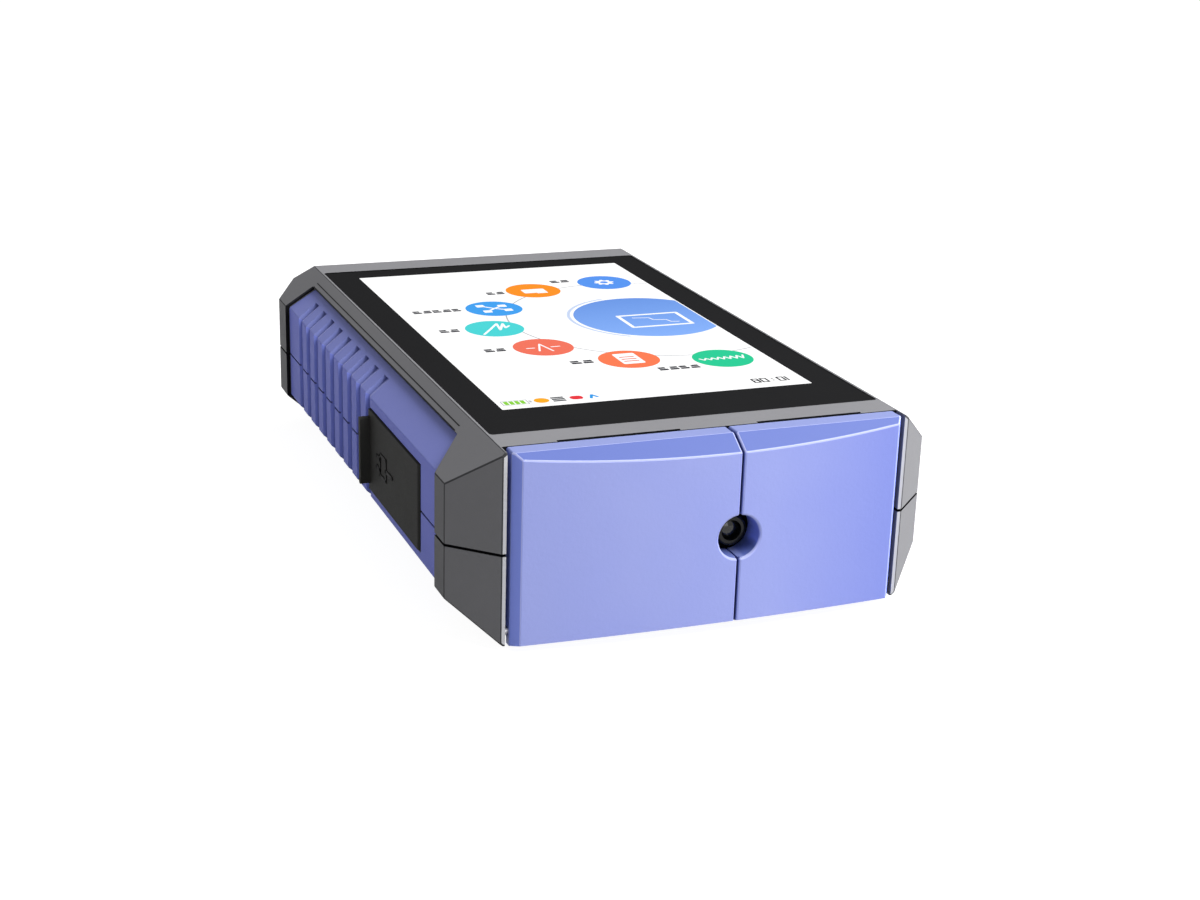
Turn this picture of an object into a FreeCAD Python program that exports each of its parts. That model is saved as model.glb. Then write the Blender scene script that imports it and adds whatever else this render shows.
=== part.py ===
import FreeCAD, Part
"""Handheld optical time domain reflectometer with a 5 inch touch screen.

A faceted two-part casing carries blue grip panels let into both sides.  The
end face holds three optical ports, a network jack and a small torch behind
two bottom-hinged port covers.  A rubber flap on the left side closes the
data sockets, a power button sits on the right, and a stand folds out of the
back.  Pieces are drawn with y = 0 at the front of the corner posts and z = 0
at the underside of the casing, and moved into the row frame on export.
All values are in millimetres.
"""
import math
import os
from FreeCAD import Vector

# ---------------------------------------------------------------- casing
casing_width = 97.4
casing_length = 153.8
casing_height = 37.0
bevel_run = 8.8             # top and bottom bevels, measured across the width
top_bevel_drop = 7.5
bottom_bevel_rise = 7.3
end_bevel_run = 7.8         # the far end's bevels, measured along the length
corner_cut = 8.1            # corner facets, measured along the length
casing_edge_radius = 0.45
casing_wall = 3.2
parting_drop = 0.7          # the parting line lies this far below half the height
parting_groove = 0.45
post_depth = 9.0            # solid corner posts, front to back

# ---------------------------------------------------------------- port bay
post_top_width = 0.3        # top of each corner post, beside the bay
post_corner_set = 0.5       # how much further out than the top the port end's corners start
strip_front = 3.6           # front edge of the top strip over the bay
sill_front = 5.2            # front edge of the casing's floor, clear of the swinging covers
bay_lip = 1.2               # lip that the port panel bears on
port_panel_thickness = 2.2
panel_clearance = 0.1
panel_rib_thickness = 1.2
panel_rib_height = 3.0
panel_rib_inset = 22.7      # from the casing's side to the end of the ribs
nail_notches = ((-29.0, -5.0), (10.5, 32.2))
nail_notch_depth = 0.8
nail_notch_height = 2.6

# ---------------------------------------------------------------- port covers
cover_side_gap = 0.8        # between a cover's side and its post
cover_back = 3.2
cover_face_inset = 1.4      # from a cover's side to the flat of its face
cover_side_start = 0.2      # where the side chamfer leaves the side wall
cover_end_reach = 1.85      # how far the face stands out at its ends
cover_bulge = 4.5           # and in the middle
cover_skin = 2.0
cover_top_skin = 2.8
cover_top_chamfer_start = 0.3
cover_top_slope = 0.61
cover_bottom_slope = 0.283
cover_bottom_start = 0.3
cover_edge_radius = 0.45
cover_split_share = 0.1023  # how far right the covers part, as a share of the bay's half width
cover_split_gap = 0.4
cover_lip_height = 2.2
cover_hinge_y = 1.8
cover_hinge_z = 2.5
cover_barrel_radius = 1.9
cover_pin_radius = 0.8
hinge_ear_half_width = 2.45
hinge_end_play = 0.3
ear_swing_room = 2.8       # room that the covers leave in front of the pin at the ear
pin_running_clearance = 0.05
pin_seat_depth = 1.2

# ---------------------------------------------------------------- torch
torch_hole_radius = 4.2
torch_collar_wall = 1.4
torch_collar_back = 1.0
torch_bezel_radius = 3.05
torch_bezel_bore = 2.0
torch_front = -0.9
torch_flange_radius = 3.6
torch_flange_thickness = 1.2
torch_tail = 3.0
torch_rim_radius = 0.5
torch_lens_recess = 0.5
torch_lens_thickness = 1.6
torch_led_length = 6.0
torch_led_gap = 1.2
torch_led_share = 0.8       # the lamp's dome against its base
torch_slip = 0.05

# ---------------------------------------------------------------- ports
port_drop = 0.5             # ports and torch lie this far below half the height
# Each port's distance left of the middle, as a share of the bay's half width.
port_shares = {"otdr_port": 0.782, "power_meter_port": 0.47, "fault_locator_port": 0.1614}
port_flange_size = 10.4
port_flange_thickness = 1.4
port_flange_corner_radius = 1.0
port_barrel_radius = 4.4
port_barrel_bore = 3.0
port_barrel_front = 0.8
port_key_width = 2.2
port_key_depth = 2.6
ferrule_sleeve_radius = 1.7
ferrule_radius = 1.25
ferrule_sleeve_front = 2.0
ferrule_bore_length = 8.0
port_tail_radius = 4.0
port_tail_length = 3.3
jack_inset = 15.6           # from the bay's right side to the jack's middle
jack_width = 16.0
jack_height = 13.4
jack_front = 8.2
jack_length = 21.0
jack_mouth_width = 11.9
jack_mouth_height = 7.0
jack_mouth_depth = 13.0
jack_mouth_floor = 2.6
jack_latch_width = 6.2
jack_latch_height = 2.2
jack_panel_gap = 0.2

# ---------------------------------------------------------------- screen
glass_side_rim = 0.6         # casing left beside the glass
glass_front = 10.6
glass_far_rim = 15.8         # from the glass to the casing's far end
glass_thickness = 1.2
glass_sink = 0.15            # the glass lies this far below the casing's top
glass_corner_radius = 0.8
glass_gap = 0.1
display_side_margin = 2.5
display_margin = 3.5
display_thickness = 4.0
display_chamfer = 0.6
display_gap = 0.2

# ---------------------------------------------------------------- side grips
grip_recess = 0.85
grip_thickness = 1.7
grip_ledge = 0.7            # grey ledge round the panel, inside its recess
grip_pocket_gap = 0.1
grip_low_z = 3.0
grip_top_drop = 3.1
grip_near_edge = 20.4       # near end of the panel at its top corner
grip_near_ridge = 14.8      # and where it crosses the ridge
grip_far_edge_inset = 19.0   # and the same at the far end, from the casing's end
grip_far_ridge_inset = 16.0
groove_count = 9
groove_first = 64.9
groove_far_inset = 8.6       # from the last groove to the panel's far edge
groove_half_width = 1.8
groove_depth = 0.95
groove_wall_run = 0.35       # the steep far wall of each groove, measured along the length
groove_top_drop = 4.4
groove_low_z = 4.3

# ---------------------------------------------------------------- data flap
flap_near = 26.2
flap_length = 36.9
flap_low_z = 9.6
flap_ridge_margin = 2.7     # from the flap up to the casing's ridge
flap_face_inset = 0.5       # the flap's face, inside the casing's side
flap_thickness = 2.0
flap_gap = 0.3
flap_lip_proud = 2.1
flap_lip_thickness = 1.3
flap_lip_inset = 1.4
flap_lip_corner_radius = 0.5
flap_pin_radius = 0.45
flap_pin_seat = 1.1
socket_block_depth = 2.6
socket_block_margin = 1.4
wide_data_width = 13.1
wide_data_height = 5.7
wide_data_depth = 14.0
wide_data_y = 50.5
small_data_width = 8.9
small_data_height = 3.2
small_data_depth = 7.6
small_data_y = 35.5
socket_wall = 0.4
socket_tongue_height = 1.8
small_data_tongue_height = 0.7

# ---------------------------------------------------------------- power button
button_y = 40.0
button_ridge_drop = 5.5     # from the casing's ridge down to the button
button_length = 12.0
button_height = 5.4
button_face_inset = 0.4
button_edge_radius = 0.4
button_gap = 0.2
button_flange_rim = 1.1
button_flange_thickness = 0.9
button_flange_rest = 0.1
button_travel = 0.8
switch_stop_gap = 0.05
switch_plunger_radius = 1.5
switch_plunger_length = 0.4
switch_body_size = 6.0
switch_body_thickness = 3.3
switch_board_thickness = 1.2
switch_board_length = 19.0
switch_board_height = 11.0
switch_rib_thickness = 1.4
switch_rib_half_height = 4.0

# ---------------------------------------------------------------- inside
board_bottom = 8.6
board_thickness = 1.6
board_side_inset = 5.7
board_neck_margin = 0.6     # neck of the board beyond the jack
board_front = 14.2
board_shoulder = 25.0
board_back = 86.0
board_screw_inset = 5.0
board_neck_screw_inset = 3.8
board_screw_rows = (29.5, 81.0)
board_post_radius = 3.0
board_screw_head_radius = 2.3
board_screw_head_height = 1.7
board_screw_head_edge_radius = 0.6
board_screw_radius = 1.2
board_screw_length = 6.0
engine_shield_gap = 4.0     # between the engine and the screening can
engine_lid_height = 1.5
engine_lid_inset = 1.5
engine_corner_radius = 2.0
engine_front = 40.0
engine_back = 78.0
engine_socket_room = 1.9    # between the engine and the wide data socket
engine_height = 11.8
spool_radius = 17.0
spool_core_radius = 9.5
spool_height = 4.5
spool_flange = 0.8
spool_wind_radius = 15.5
shield_width = 15.0
shield_front = 44.0
shield_back = 66.0
shield_edge_margin = 4.0
shield_height = 4.0
shield_corner_radius = 1.0
battery_side_inset = 20.7
battery_board_gap = 6.0
battery_far_inset = 11.8
battery_height = 16.0
battery_edge_radius = 3.0

# ---------------------------------------------------------------- fasteners
screw_side_inset = 11.8
screw_near_y = 20.0
screw_far_inset = 19.8
screw_head_radius = 2.6
screw_head_height = 2.2
screw_head_recess = 2.6
screw_slot_length = 3.0
screw_slot_width = 0.6
screw_slot_depth = 1.0
screw_pocket_radius = 2.9
screw_radius = 1.45
screw_slip = 0.15
screw_tip_drop = 5.0        # from the boss's top down to the screw's tip
boss_radius = 3.7
upper_boss_drop = 6.0       # from the casing's top down to the boss's top
boss_web = 3.0
boss_bite = 0.5             # how far bosses and ribs run into the wall

# ---------------------------------------------------------------- underside
foot_proud = 1.0
foot_seat = 0.7
foot_radius = 4.6
foot_edge_radius = 0.4
foot_slip = 0.05
foot_side_inset = 19.7
foot_near_y = 16.0
foot_far_inset = 13.8
stand_side_inset = 21.7
stand_hinge_y = 62.0
stand_far_inset = 25.8
stand_thickness = 2.0
stand_corner_radius = 3.0
stand_hinge_radius = 1.2
stand_hinge_z = 1.5
stand_gap = 0.4
stand_pin_radius = 0.7
stand_pin_reach = 3.0
stand_pin_seat = 2.0
stand_pin_end_gap = 0.3
stand_well_depth = 2.9
stand_well_floor = 1.6
stand_panel_recess = 0.5
stand_panel_margin = 7.0
stand_panel_corner_radius = 2.0
finger_scoop_radius = 11.0
finger_scoop_depth = 2.2

# Values that follow from the ones above.
half_width = casing_width / 2
top_half_width = half_width - bevel_run
top_edge_z = casing_height - top_bevel_drop
parting_height = casing_height / 2 - parting_drop
port_z = casing_height / 2 - port_drop
post_outer_x = top_half_width + post_corner_set
bay_half_width = top_half_width - post_top_width
panel_rib_half_length = half_width - panel_rib_inset
cover_half_width = bay_half_width - cover_side_gap
cover_face_half_width = cover_half_width - cover_face_inset
cover_split_x = cover_split_share * bay_half_width
port_positions = {name: -share * bay_half_width for name, share in port_shares.items()}
jack_x = bay_half_width - jack_inset
glass_half_width = top_half_width - glass_side_rim
glass_length = casing_length - glass_far_rim - glass_front
display_half_width = glass_half_width - display_side_margin
grip_high_z = casing_height - grip_top_drop
grip_far_edge = casing_length - grip_far_edge_inset
grip_far_ridge = casing_length - grip_far_ridge_inset
groove_high_z = casing_height - groove_top_drop
groove_pitch = (grip_far_edge - groove_far_inset - groove_first) / (groove_count - 1)
far_top_edge = casing_length - end_bevel_run
side_inner_x = half_width - casing_wall
panel_back = post_depth + port_panel_thickness
glass_bottom = casing_height - glass_sink - glass_thickness
display_front = glass_front + display_margin
display_back = glass_front + glass_length - display_margin
board_top = board_bottom + board_thickness
engine_top = board_top + engine_height
flap_face_x = half_width - flap_face_inset
flap_far = flap_near + flap_length
flap_high_z = top_edge_z - flap_ridge_margin
flap_height = flap_high_z - flap_low_z
flap_hinge_radius = flap_thickness / 2
flap_hinge_x = flap_face_x - flap_hinge_radius
flap_hinge_y = flap_near + flap_hinge_radius
flap_floor_x = flap_face_x - flap_thickness - flap_gap
flap_reach = flap_face_x + flap_lip_proud
button_face_x = half_width - button_face_inset
button_z = top_edge_z - button_ridge_drop
button_inner_x = side_inner_x - button_flange_rest - button_flange_thickness
switch_tip_x = button_inner_x - button_travel - switch_stop_gap
switch_body_x = switch_tip_x - switch_plunger_length
switch_board_x = switch_body_x - switch_body_thickness
board_half_width = half_width - board_side_inset
board_neck_half_width = jack_x + jack_width / 2 + board_neck_margin
board_screw_x = board_half_width - board_screw_inset
board_screws = ((board_screw_inset + board_neck_screw_inset - board_half_width, board_screw_rows[0]),
                (board_screw_x, board_screw_rows[0]),
                (-board_screw_x, board_screw_rows[1]), (board_screw_x, board_screw_rows[1]))
engine_left = flap_floor_x - wide_data_depth - engine_socket_room
shield_right = board_half_width - shield_edge_margin
shield_left = shield_right - shield_width
engine_right = shield_left - engine_shield_gap
spool_x = (engine_right - engine_left) / 2
spool_y = (engine_front + engine_back) / 2
battery_half_width = half_width - battery_side_inset
battery_front = board_back + battery_board_gap
battery_back = casing_length - battery_far_inset
screw_x = half_width - screw_side_inset
screw_rows = (screw_near_y, casing_length - screw_far_inset)
upper_boss_top = casing_height - upper_boss_drop
screw_tip_z = upper_boss_top - screw_tip_drop
foot_x = half_width - foot_side_inset
foot_rows = (foot_near_y, casing_length - foot_far_inset)
stand_half_width = half_width - stand_side_inset
stand_free_end = casing_length - stand_far_inset
stand_well_front = stand_hinge_y - stand_hinge_radius - stand_gap
stand_well_back = stand_free_end + stand_gap
far = 2 * casing_length     # reach of cutting tools

# The row frame has its origin at the middle of the part's box, on the ground.
frame_shift = Vector((flap_reach - half_width) / 2, (cover_bulge - casing_length) / 2, foot_proud)


# ---------------------------------------------------------------- helpers
def box(x0, x1, y0, y1, z0, z1):
    """A box between two corners."""
    return Part.makeBox(x1 - x0, y1 - y0, z1 - z0, Vector(x0, y0, z0))


def rod(x, y, z, axis, radius, length):
    """A cylinder that starts at a point and runs along an axis."""
    return Part.makeCylinder(radius, length, Vector(x, y, z), Vector(*axis))


def tube(x, y, z, axis, outer, inner, length):
    """A hollow cylinder."""
    return rod(x, y, z, axis, outer, length).cut(rod(x, y, z, axis, inner, length))


def plate(points):
    """A flat face on a closed outline of points."""
    corners = [Vector(*p) for p in points]
    return Part.Face(Part.makePolygon(corners + corners[:1]))


def prism(points, direction):
    """An outline pushed along a vector."""
    return plate(points).extrude(Vector(*direction))


def rounded_box(x0, x1, y0, y1, z0, z1, radius, along):
    """A box whose four edges along one axis are rounded."""
    body = box(x0, x1, y0, y1, z0, z1)
    unit = Vector(*along)
    edges = [e for e in body.Edges if abs(e.tangentAt(e.FirstParameter).dot(unit)) > 0.9]
    return body.makeFillet(radius, edges)


def mirrored(shape):
    """The same shape on the other side of the middle plane."""
    return shape.mirror(Vector(0, 0, 0), Vector(1, 0, 0))


def both_sides(shape):
    """A shape and its mirror image."""
    return [shape, mirrored(shape)]


# ---------------------------------------------------------------- casing form
def casing_form(inset, edge_radius=0.0):
    """The faceted casing as a solid, with every face moved inwards by inset."""
    across = plate([(-top_half_width, 0, 0), (top_half_width, 0, 0),
                    (half_width, 0, bottom_bevel_rise), (half_width, 0, top_edge_z),
                    (top_half_width, 0, casing_height), (-top_half_width, 0, casing_height),
                    (-half_width, 0, top_edge_z), (-half_width, 0, bottom_bevel_rise)])
    along = plate([(0, 0, 0), (0, far_top_edge, 0), (0, casing_length, bottom_bevel_rise),
                   (0, casing_length, top_edge_z), (0, far_top_edge, casing_height),
                   (0, 0, casing_height)])
    far_corner = casing_length - corner_cut
    plan = plate([(-post_outer_x, 0, 0), (post_outer_x, 0, 0), (half_width, corner_cut, 0),
                  (half_width, far_corner, 0), (top_half_width, casing_length, 0),
                  (-top_half_width, casing_length, 0), (-half_width, far_corner, 0),
                  (-half_width, corner_cut, 0)])
    if inset:
        across, along, plan = [f.makeOffset2D(-inset, join=2) for f in (across, along, plan)]
    form = across.extrude(Vector(0, casing_length, 0))
    along.translate(Vector(-half_width, 0, 0))
    form = form.common(along.extrude(Vector(casing_width, 0, 0)))
    form = form.common(plan.extrude(Vector(0, 0, casing_height)))
    form = form.removeSplitter()
    if edge_radius:
        form = form.makeFillet(edge_radius, form.Edges)
    return form


outer_form = casing_form(0, casing_edge_radius)
grip_form = casing_form(grip_recess, casing_edge_radius)
grip_floor_form = casing_form(grip_recess + grip_thickness)
inner_form = casing_form(casing_wall)
bite_form = casing_form(casing_wall - boss_bite)
upper_space = box(-far, far, -far, far, parting_height, far)
lower_space = box(-far, far, -far, far, -far, parting_height)
parting_slab = box(-far, far, -far, far, parting_height - parting_groove / 2,
                   parting_height + parting_groove / 2)


# ---------------------------------------------------------------- grips
def grip_outline(grow):
    """Side view of a grip panel, pushed through the left side of the casing."""
    low, high = grip_low_z - grow, grip_high_z + grow
    near_edge, far_edge = grip_near_edge - grow, grip_far_edge + grow
    near_ridge, far_ridge = grip_near_ridge - grow, grip_far_ridge + grow
    outline = [(0, near_edge, low), (0, far_edge, low), (0, far_ridge, bottom_bevel_rise),
               (0, far_ridge, top_edge_z), (0, far_edge, high), (0, near_edge, high),
               (0, near_ridge, top_edge_z), (0, near_ridge, bottom_bevel_rise)]
    return prism(outline, (-far, 0, 0))


def bevel_x(z, inset):
    """How far out the upper bevel lies at a height, at an inset from the casing."""
    slope = bevel_run / top_bevel_drop
    return top_half_width + (casing_height - z) * slope - inset * math.hypot(1, slope)


def lower_bevel_x(z, inset):
    """The same for the lower bevel."""
    slope = bevel_run / bottom_bevel_rise
    return top_half_width + z * slope - inset * math.hypot(1, slope)


def groove_run(y, start, end):
    """A lopsided V groove sunk along one flat of the left grip, from start to end in (x, z)."""
    run = Vector(end[0] - start[0], 0, end[1] - start[1])
    inward = Vector(run.z, 0, -run.x).normalize()
    if inward.x < 0:
        inward = -inward
    base = Vector(start[0], y, start[1])
    floor_y = groove_half_width - groove_wall_run
    profile = [base + inward * groove_depth + Vector(0, floor_y, 0),
               base - inward * groove_depth + Vector(0, groove_half_width + groove_wall_run, 0),
               base - inward * groove_depth - Vector(0, 2 * groove_half_width + floor_y, 0)]
    return prism([tuple(p) for p in profile], tuple(run))


def groove_tools():
    """All the V grooves of the left side, three runs to a groove."""
    side_x = -(half_width - grip_recess)
    reach = groove_depth
    upper_end = (-bevel_x(groove_high_z, grip_recess), groove_high_z)
    upper_ridge = (-bevel_x(top_edge_z - reach, grip_recess), top_edge_z - reach)
    lower_ridge = (-lower_bevel_x(bottom_bevel_rise + reach, grip_recess), bottom_bevel_rise + reach)
    lower_end = (-lower_bevel_x(groove_low_z, grip_recess), groove_low_z)
    tools = []
    for index in range(groove_count):
        y = groove_first + index * groove_pitch
        tools.append(groove_run(y, upper_end, upper_ridge))
        tools.append(groove_run(y, (side_x, top_edge_z + reach), (side_x, bottom_bevel_rise - reach)))
        tools.append(groove_run(y, lower_ridge, lower_end))
    return tools


def grip_panel(space):
    """One blue grip panel of the left side, above or below the parting line."""
    band = grip_form.cut(grip_floor_form).common(grip_outline(0)).common(space)
    seam = grip_form.cut(casing_form(grip_recess + parting_groove)).common(parting_slab)
    return band.cut(groove_tools() + [seam])


def flap_pocket():
    """The pocket that the data flap closes into."""
    return box(-far, -flap_floor_x, flap_near - flap_gap, flap_far + flap_gap,
               flap_low_z - flap_gap, flap_high_z + flap_gap)


def flap_pin_hole():
    """Seats of the flap's pin above and below the pocket."""
    return rod(-flap_hinge_x, flap_hinge_y, flap_low_z - flap_gap - flap_pin_seat, (0, 0, 1),
               flap_pin_radius, flap_height + 2 * flap_gap + 2 * flap_pin_seat)


def button_hole(gap):
    """The power button's slot through the right side."""
    half_y, half_z = button_length / 2 + gap, button_height / 2 + gap
    return rounded_box(button_inner_x + button_flange_thickness, far, button_y - half_y,
                       button_y + half_y, button_z - half_z, button_z + half_z,
                       half_z * 0.98, (1, 0, 0))


parting_edge = outer_form.cut(casing_form(parting_groove)).common(parting_slab)
left_grip_recess = grip_outline(grip_ledge).cut(grip_form)
left_grip_pocket = grip_outline(grip_pocket_gap).cut(grip_floor_form)
left_upper_grip = grip_panel(upper_space).cut([flap_pocket(), flap_pin_hole()])
left_lower_grip = grip_panel(lower_space).cut([flap_pocket(), flap_pin_hole()])
right_upper_grip = mirrored(grip_panel(upper_space)).cut(button_hole(button_gap))
right_lower_grip = mirrored(grip_panel(lower_space))


# ---------------------------------------------------------------- shells
def shell_blank(space):
    """Half of the casing: hollow behind the posts, open at the port end."""
    hollow = inner_form.common(box(-far, far, post_depth, far, -far, far))
    bay = box(-bay_half_width, bay_half_width, -far, post_depth, casing_wall + bay_lip,
              casing_height - casing_wall - bay_lip)
    mouth = box(-bay_half_width, bay_half_width, -far, strip_front, -far, far)
    cuts = [hollow, bay, mouth, parting_edge] + both_sides(left_grip_recess)
    cuts += both_sides(left_grip_pocket)
    return outer_form.common(space).cut(cuts)


def socket_block(space):
    """Thickened wall behind the data flap, which the sockets look through."""
    margin = flap_gap + socket_block_margin
    block = box(-flap_floor_x, -(flap_floor_x - socket_block_depth), flap_near - margin,
                flap_far + margin, flap_low_z - margin, flap_high_z + margin)
    return block.common(space).common(bite_form)


def socket_openings():
    """Windows for the two data sockets, cut through the wall and its block."""
    depth = flap_floor_x - socket_block_depth
    windows = []
    for y, width, height in ((wide_data_y, wide_data_width, wide_data_height),
                             (small_data_y, small_data_width, small_data_height)):
        half = width / 2 + jack_panel_gap
        windows.append(box(-far, -depth + 1, y - half, y + half, board_top - jack_panel_gap,
                           board_top + height + jack_panel_gap))
    return windows


def screw_places():
    """Where the four casing screws stand."""
    return [(x, y) for y in screw_rows for x in (-screw_x, screw_x)]


def upper_boss(x, y):
    """Screw boss hung from the side wall of the upper shell, with its web."""
    side = math.copysign(1, x)
    boss = rod(x, y, parting_height, (0, 0, 1), boss_radius, upper_boss_top - parting_height)
    web_low, web_high = sorted((x, side * half_width))
    web = box(web_low, web_high, y - boss_web / 2, y + boss_web / 2, parting_height, upper_boss_top)
    return boss.fuse(web).common(bite_form)


def make_upper_shell():
    """The upper shell with its glass seat, panel ribs and screw bosses."""
    shell = shell_blank(upper_space)
    rib_back = panel_back + panel_clearance
    top_inner = casing_height - casing_wall
    added = [box(-panel_rib_half_length, panel_rib_half_length, rib_back,
                 rib_back + panel_rib_thickness, top_inner - panel_rib_height, top_inner + boss_bite)]
    added += [upper_boss(x, y) for x, y in screw_places()]
    added.append(socket_block(upper_space))
    for end in (-1, 1):
        rib_y = button_y + end * (switch_board_length - switch_rib_thickness) / 2
        added.append(box(switch_board_x, side_inner_x + boss_bite, rib_y - switch_rib_thickness / 2,
                         rib_y + switch_rib_thickness / 2, button_z - switch_rib_half_height,
                         button_z + switch_rib_half_height))
    shell = shell.fuse(added)
    seat_half = glass_half_width + glass_gap
    seat = rounded_box(-seat_half, seat_half, glass_front - glass_gap,
                       glass_front + glass_length + glass_gap, glass_bottom, casing_height + 1,
                       glass_corner_radius, (0, 0, 1))
    window = box(-display_half_width - display_gap, display_half_width + display_gap,
                 display_front - display_gap, display_back + display_gap,
                 upper_boss_top, casing_height)
    cuts = [seat, window, button_hole(button_gap), flap_pocket(), flap_pin_hole()]
    cuts += socket_openings()
    for x0, x1 in nail_notches:
        cuts.append(box(x0, x1, strip_front - 1, strip_front + nail_notch_depth,
                        casing_height - nail_notch_height, casing_height + 1))
    for x, y in screw_places():
        cuts.append(rod(x, y, parting_height, (0, 0, 1), screw_radius, screw_tip_z - parting_height))
    return shell.cut(cuts).removeSplitter()


def hinge_ear():
    """The ear between the two covers that carries the middle of their pin."""
    x0 = cover_split_x - hinge_ear_half_width
    knuckle = rod(x0, cover_hinge_y, cover_hinge_z, (1, 0, 0), cover_barrel_radius,
                  2 * hinge_ear_half_width)
    arm = box(x0, x0 + 2 * hinge_ear_half_width, cover_hinge_y, sill_front + 1,
              cover_hinge_z - cover_barrel_radius, cover_hinge_z + cover_barrel_radius)
    return knuckle.fuse(arm)


def cover_pin():
    """The pin that both port covers turn on."""
    half = bay_half_width + pin_seat_depth
    return rod(-half, cover_hinge_y, cover_hinge_z, (1, 0, 0), cover_pin_radius, 2 * half)


def stand_well():
    """The well in the underside that the stand folds into, with a finger scoop."""
    half = stand_half_width + stand_gap
    well = box(-half, half, stand_well_front, stand_well_back, -1, stand_well_depth)
    scoop = rod(0, stand_well_back, -1, (0, 0, 1), finger_scoop_radius, finger_scoop_depth + 1)
    return well.fuse(scoop)


def stand_pin(side):
    """One of the two short pins that the stand swings on."""
    start = stand_half_width - stand_pin_reach
    length = stand_pin_reach + stand_gap + stand_pin_seat
    x = start if side > 0 else -start - length
    return rod(x, stand_hinge_y, stand_hinge_z, (1, 0, 0), stand_pin_radius, length)


def make_lower_shell():
    """The lower shell with its stand well, bosses, ribs and cover hinge ear."""
    shell = shell_blank(lower_space)
    well_half = stand_half_width + stand_gap + stand_pin_seat + stand_well_floor
    pad = box(-well_half, well_half, stand_well_front - stand_well_floor,
              far_top_edge - casing_wall, casing_wall - boss_bite, stand_well_depth + stand_well_floor)
    rib_back = panel_back + panel_clearance
    added = [pad, hinge_ear(), socket_block(lower_space),
             box(-panel_rib_half_length, panel_rib_half_length, rib_back,
                 rib_back + panel_rib_thickness, casing_wall - boss_bite,
                 casing_wall + panel_rib_height)]
    for x, y in screw_places():
        boss = rod(x, y, 0, (0, 0, 1), boss_radius, parting_height)
        added.append(boss.common(bite_form))
    for x, y in board_screws:
        post = rod(x, y, 0, (0, 0, 1), board_post_radius, board_bottom)
        added.append(post.common(bite_form))
    shell = shell.cut(box(-bay_half_width, bay_half_width, -far, sill_front, -far, far))
    shell = shell.fuse(added)
    cuts = [stand_well(), stand_pin(-1), stand_pin(1), cover_pin(), flap_pocket(), flap_pin_hole()]
    cuts += socket_openings()
    for x, y in screw_places():
        cuts.append(rod(x, y, -1, (0, 0, 1), screw_pocket_radius, screw_head_recess + 1))
        cuts.append(rod(x, y, 0, (0, 0, 1), screw_radius + screw_slip, casing_height))
    for x, y in board_screws:
        cuts.append(rod(x, y, board_top - board_screw_length, (0, 0, 1), board_screw_radius,
                        board_screw_length))
    for x in (-foot_x, foot_x):
        for y in foot_rows:
            cuts.append(rod(x, y, -1, (0, 0, 1), foot_radius, foot_seat + 1))
    return shell.cut(cuts).removeSplitter()


# ---------------------------------------------------------------- port covers
def cover_plan(inset, back):
    """Plan of both covers: straight sides, chamfered corners and a bowed face."""
    side, face = cover_half_width - inset, cover_face_half_width - inset
    start, end, middle = cover_side_start, -cover_end_reach + inset, -cover_bulge + inset
    corners = [(-side, back), (-side, start), (-face, end), (face, end), (side, start), (side, back)]
    points = [Vector(x, y, 0) for x, y in corners]
    edges = [Part.makeLine(points[i], points[i + 1]) for i in (0, 1, 3, 4)]
    edges.append(Part.Arc(points[2], Vector(0, middle, 0), points[3]).toShape())
    edges.append(Part.makeLine(points[5], points[0]))
    return Part.Face(Part.Wire(Part.__sortEdges__(edges)))


def cover_blank():
    """Both covers in one solid, with the sloped top and bottom edges."""
    form = cover_plan(0, cover_back).extrude(Vector(0, 0, casing_height))
    reach = 3 * cover_bulge
    top = prism([(-far, -cover_top_chamfer_start, casing_height),
                 (-far, -cover_top_chamfer_start - reach, casing_height - cover_top_slope * reach),
                 (-far, -cover_top_chamfer_start - reach, far),
                 (-far, -cover_top_chamfer_start, far)], (2 * far, 0, 0))
    bottom = prism([(-far, cover_bottom_start, 0), (-far, cover_bottom_start, -far),
                    (-far, cover_bottom_start - reach, -far),
                    (-far, cover_bottom_start - reach, cover_bottom_slope * reach)], (2 * far, 0, 0))
    return form.cut([top, bottom])


def make_cover(x0, x1, barrel_x0, barrel_x1):
    """One port cover: a bowed cap with a half collar round the torch and a hinge barrel."""
    span = box(x0, x1, -far, far, -far, far)
    hole = rod(cover_split_x, -far, port_z, (0, 1, 0), torch_hole_radius, 2 * far)
    cap = cover_blank().common(span).cut(hole)
    rim = [e for e in cap.Edges if e.BoundBox.YMin < cover_back - cover_edge_radius
           and e.BoundBox.ZMax > cover_lip_height]
    cap = cap.makeFillet(cover_edge_radius, rim)
    hollow = cover_plan(cover_skin, 2 * cover_back).extrude(Vector(0, 0, far))
    hollow = hollow.common(box(-far, far, -far, far, cover_lip_height, casing_height - cover_top_skin))
    cap = cap.cut(hollow)
    heel = box(-far, far, cover_hinge_y, far, -far, cover_hinge_z)
    ear_half = hinge_ear_half_width + hinge_end_play
    ear_room = box(cover_split_x - ear_half, cover_split_x + ear_half,
                   cover_hinge_y - ear_swing_room, far, -far,
                   cover_hinge_z + cover_barrel_radius + hinge_end_play)
    cap = cap.cut([heel, ear_room])
    collar = tube(cover_split_x, -cover_bulge + cover_skin / 2, port_z, (0, 1, 0),
                  torch_hole_radius + torch_collar_wall, torch_hole_radius,
                  cover_bulge - cover_skin / 2 + torch_collar_back)
    barrel = rod(barrel_x0, cover_hinge_y, cover_hinge_z, (1, 0, 0), cover_barrel_radius,
                 barrel_x1 - barrel_x0)
    cap = cap.fuse([collar.common(span), barrel])
    bore = rod(-far, cover_hinge_y, cover_hinge_z, (1, 0, 0),
               cover_pin_radius + pin_running_clearance, 2 * far)
    return cap.cut(bore).removeSplitter()


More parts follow.
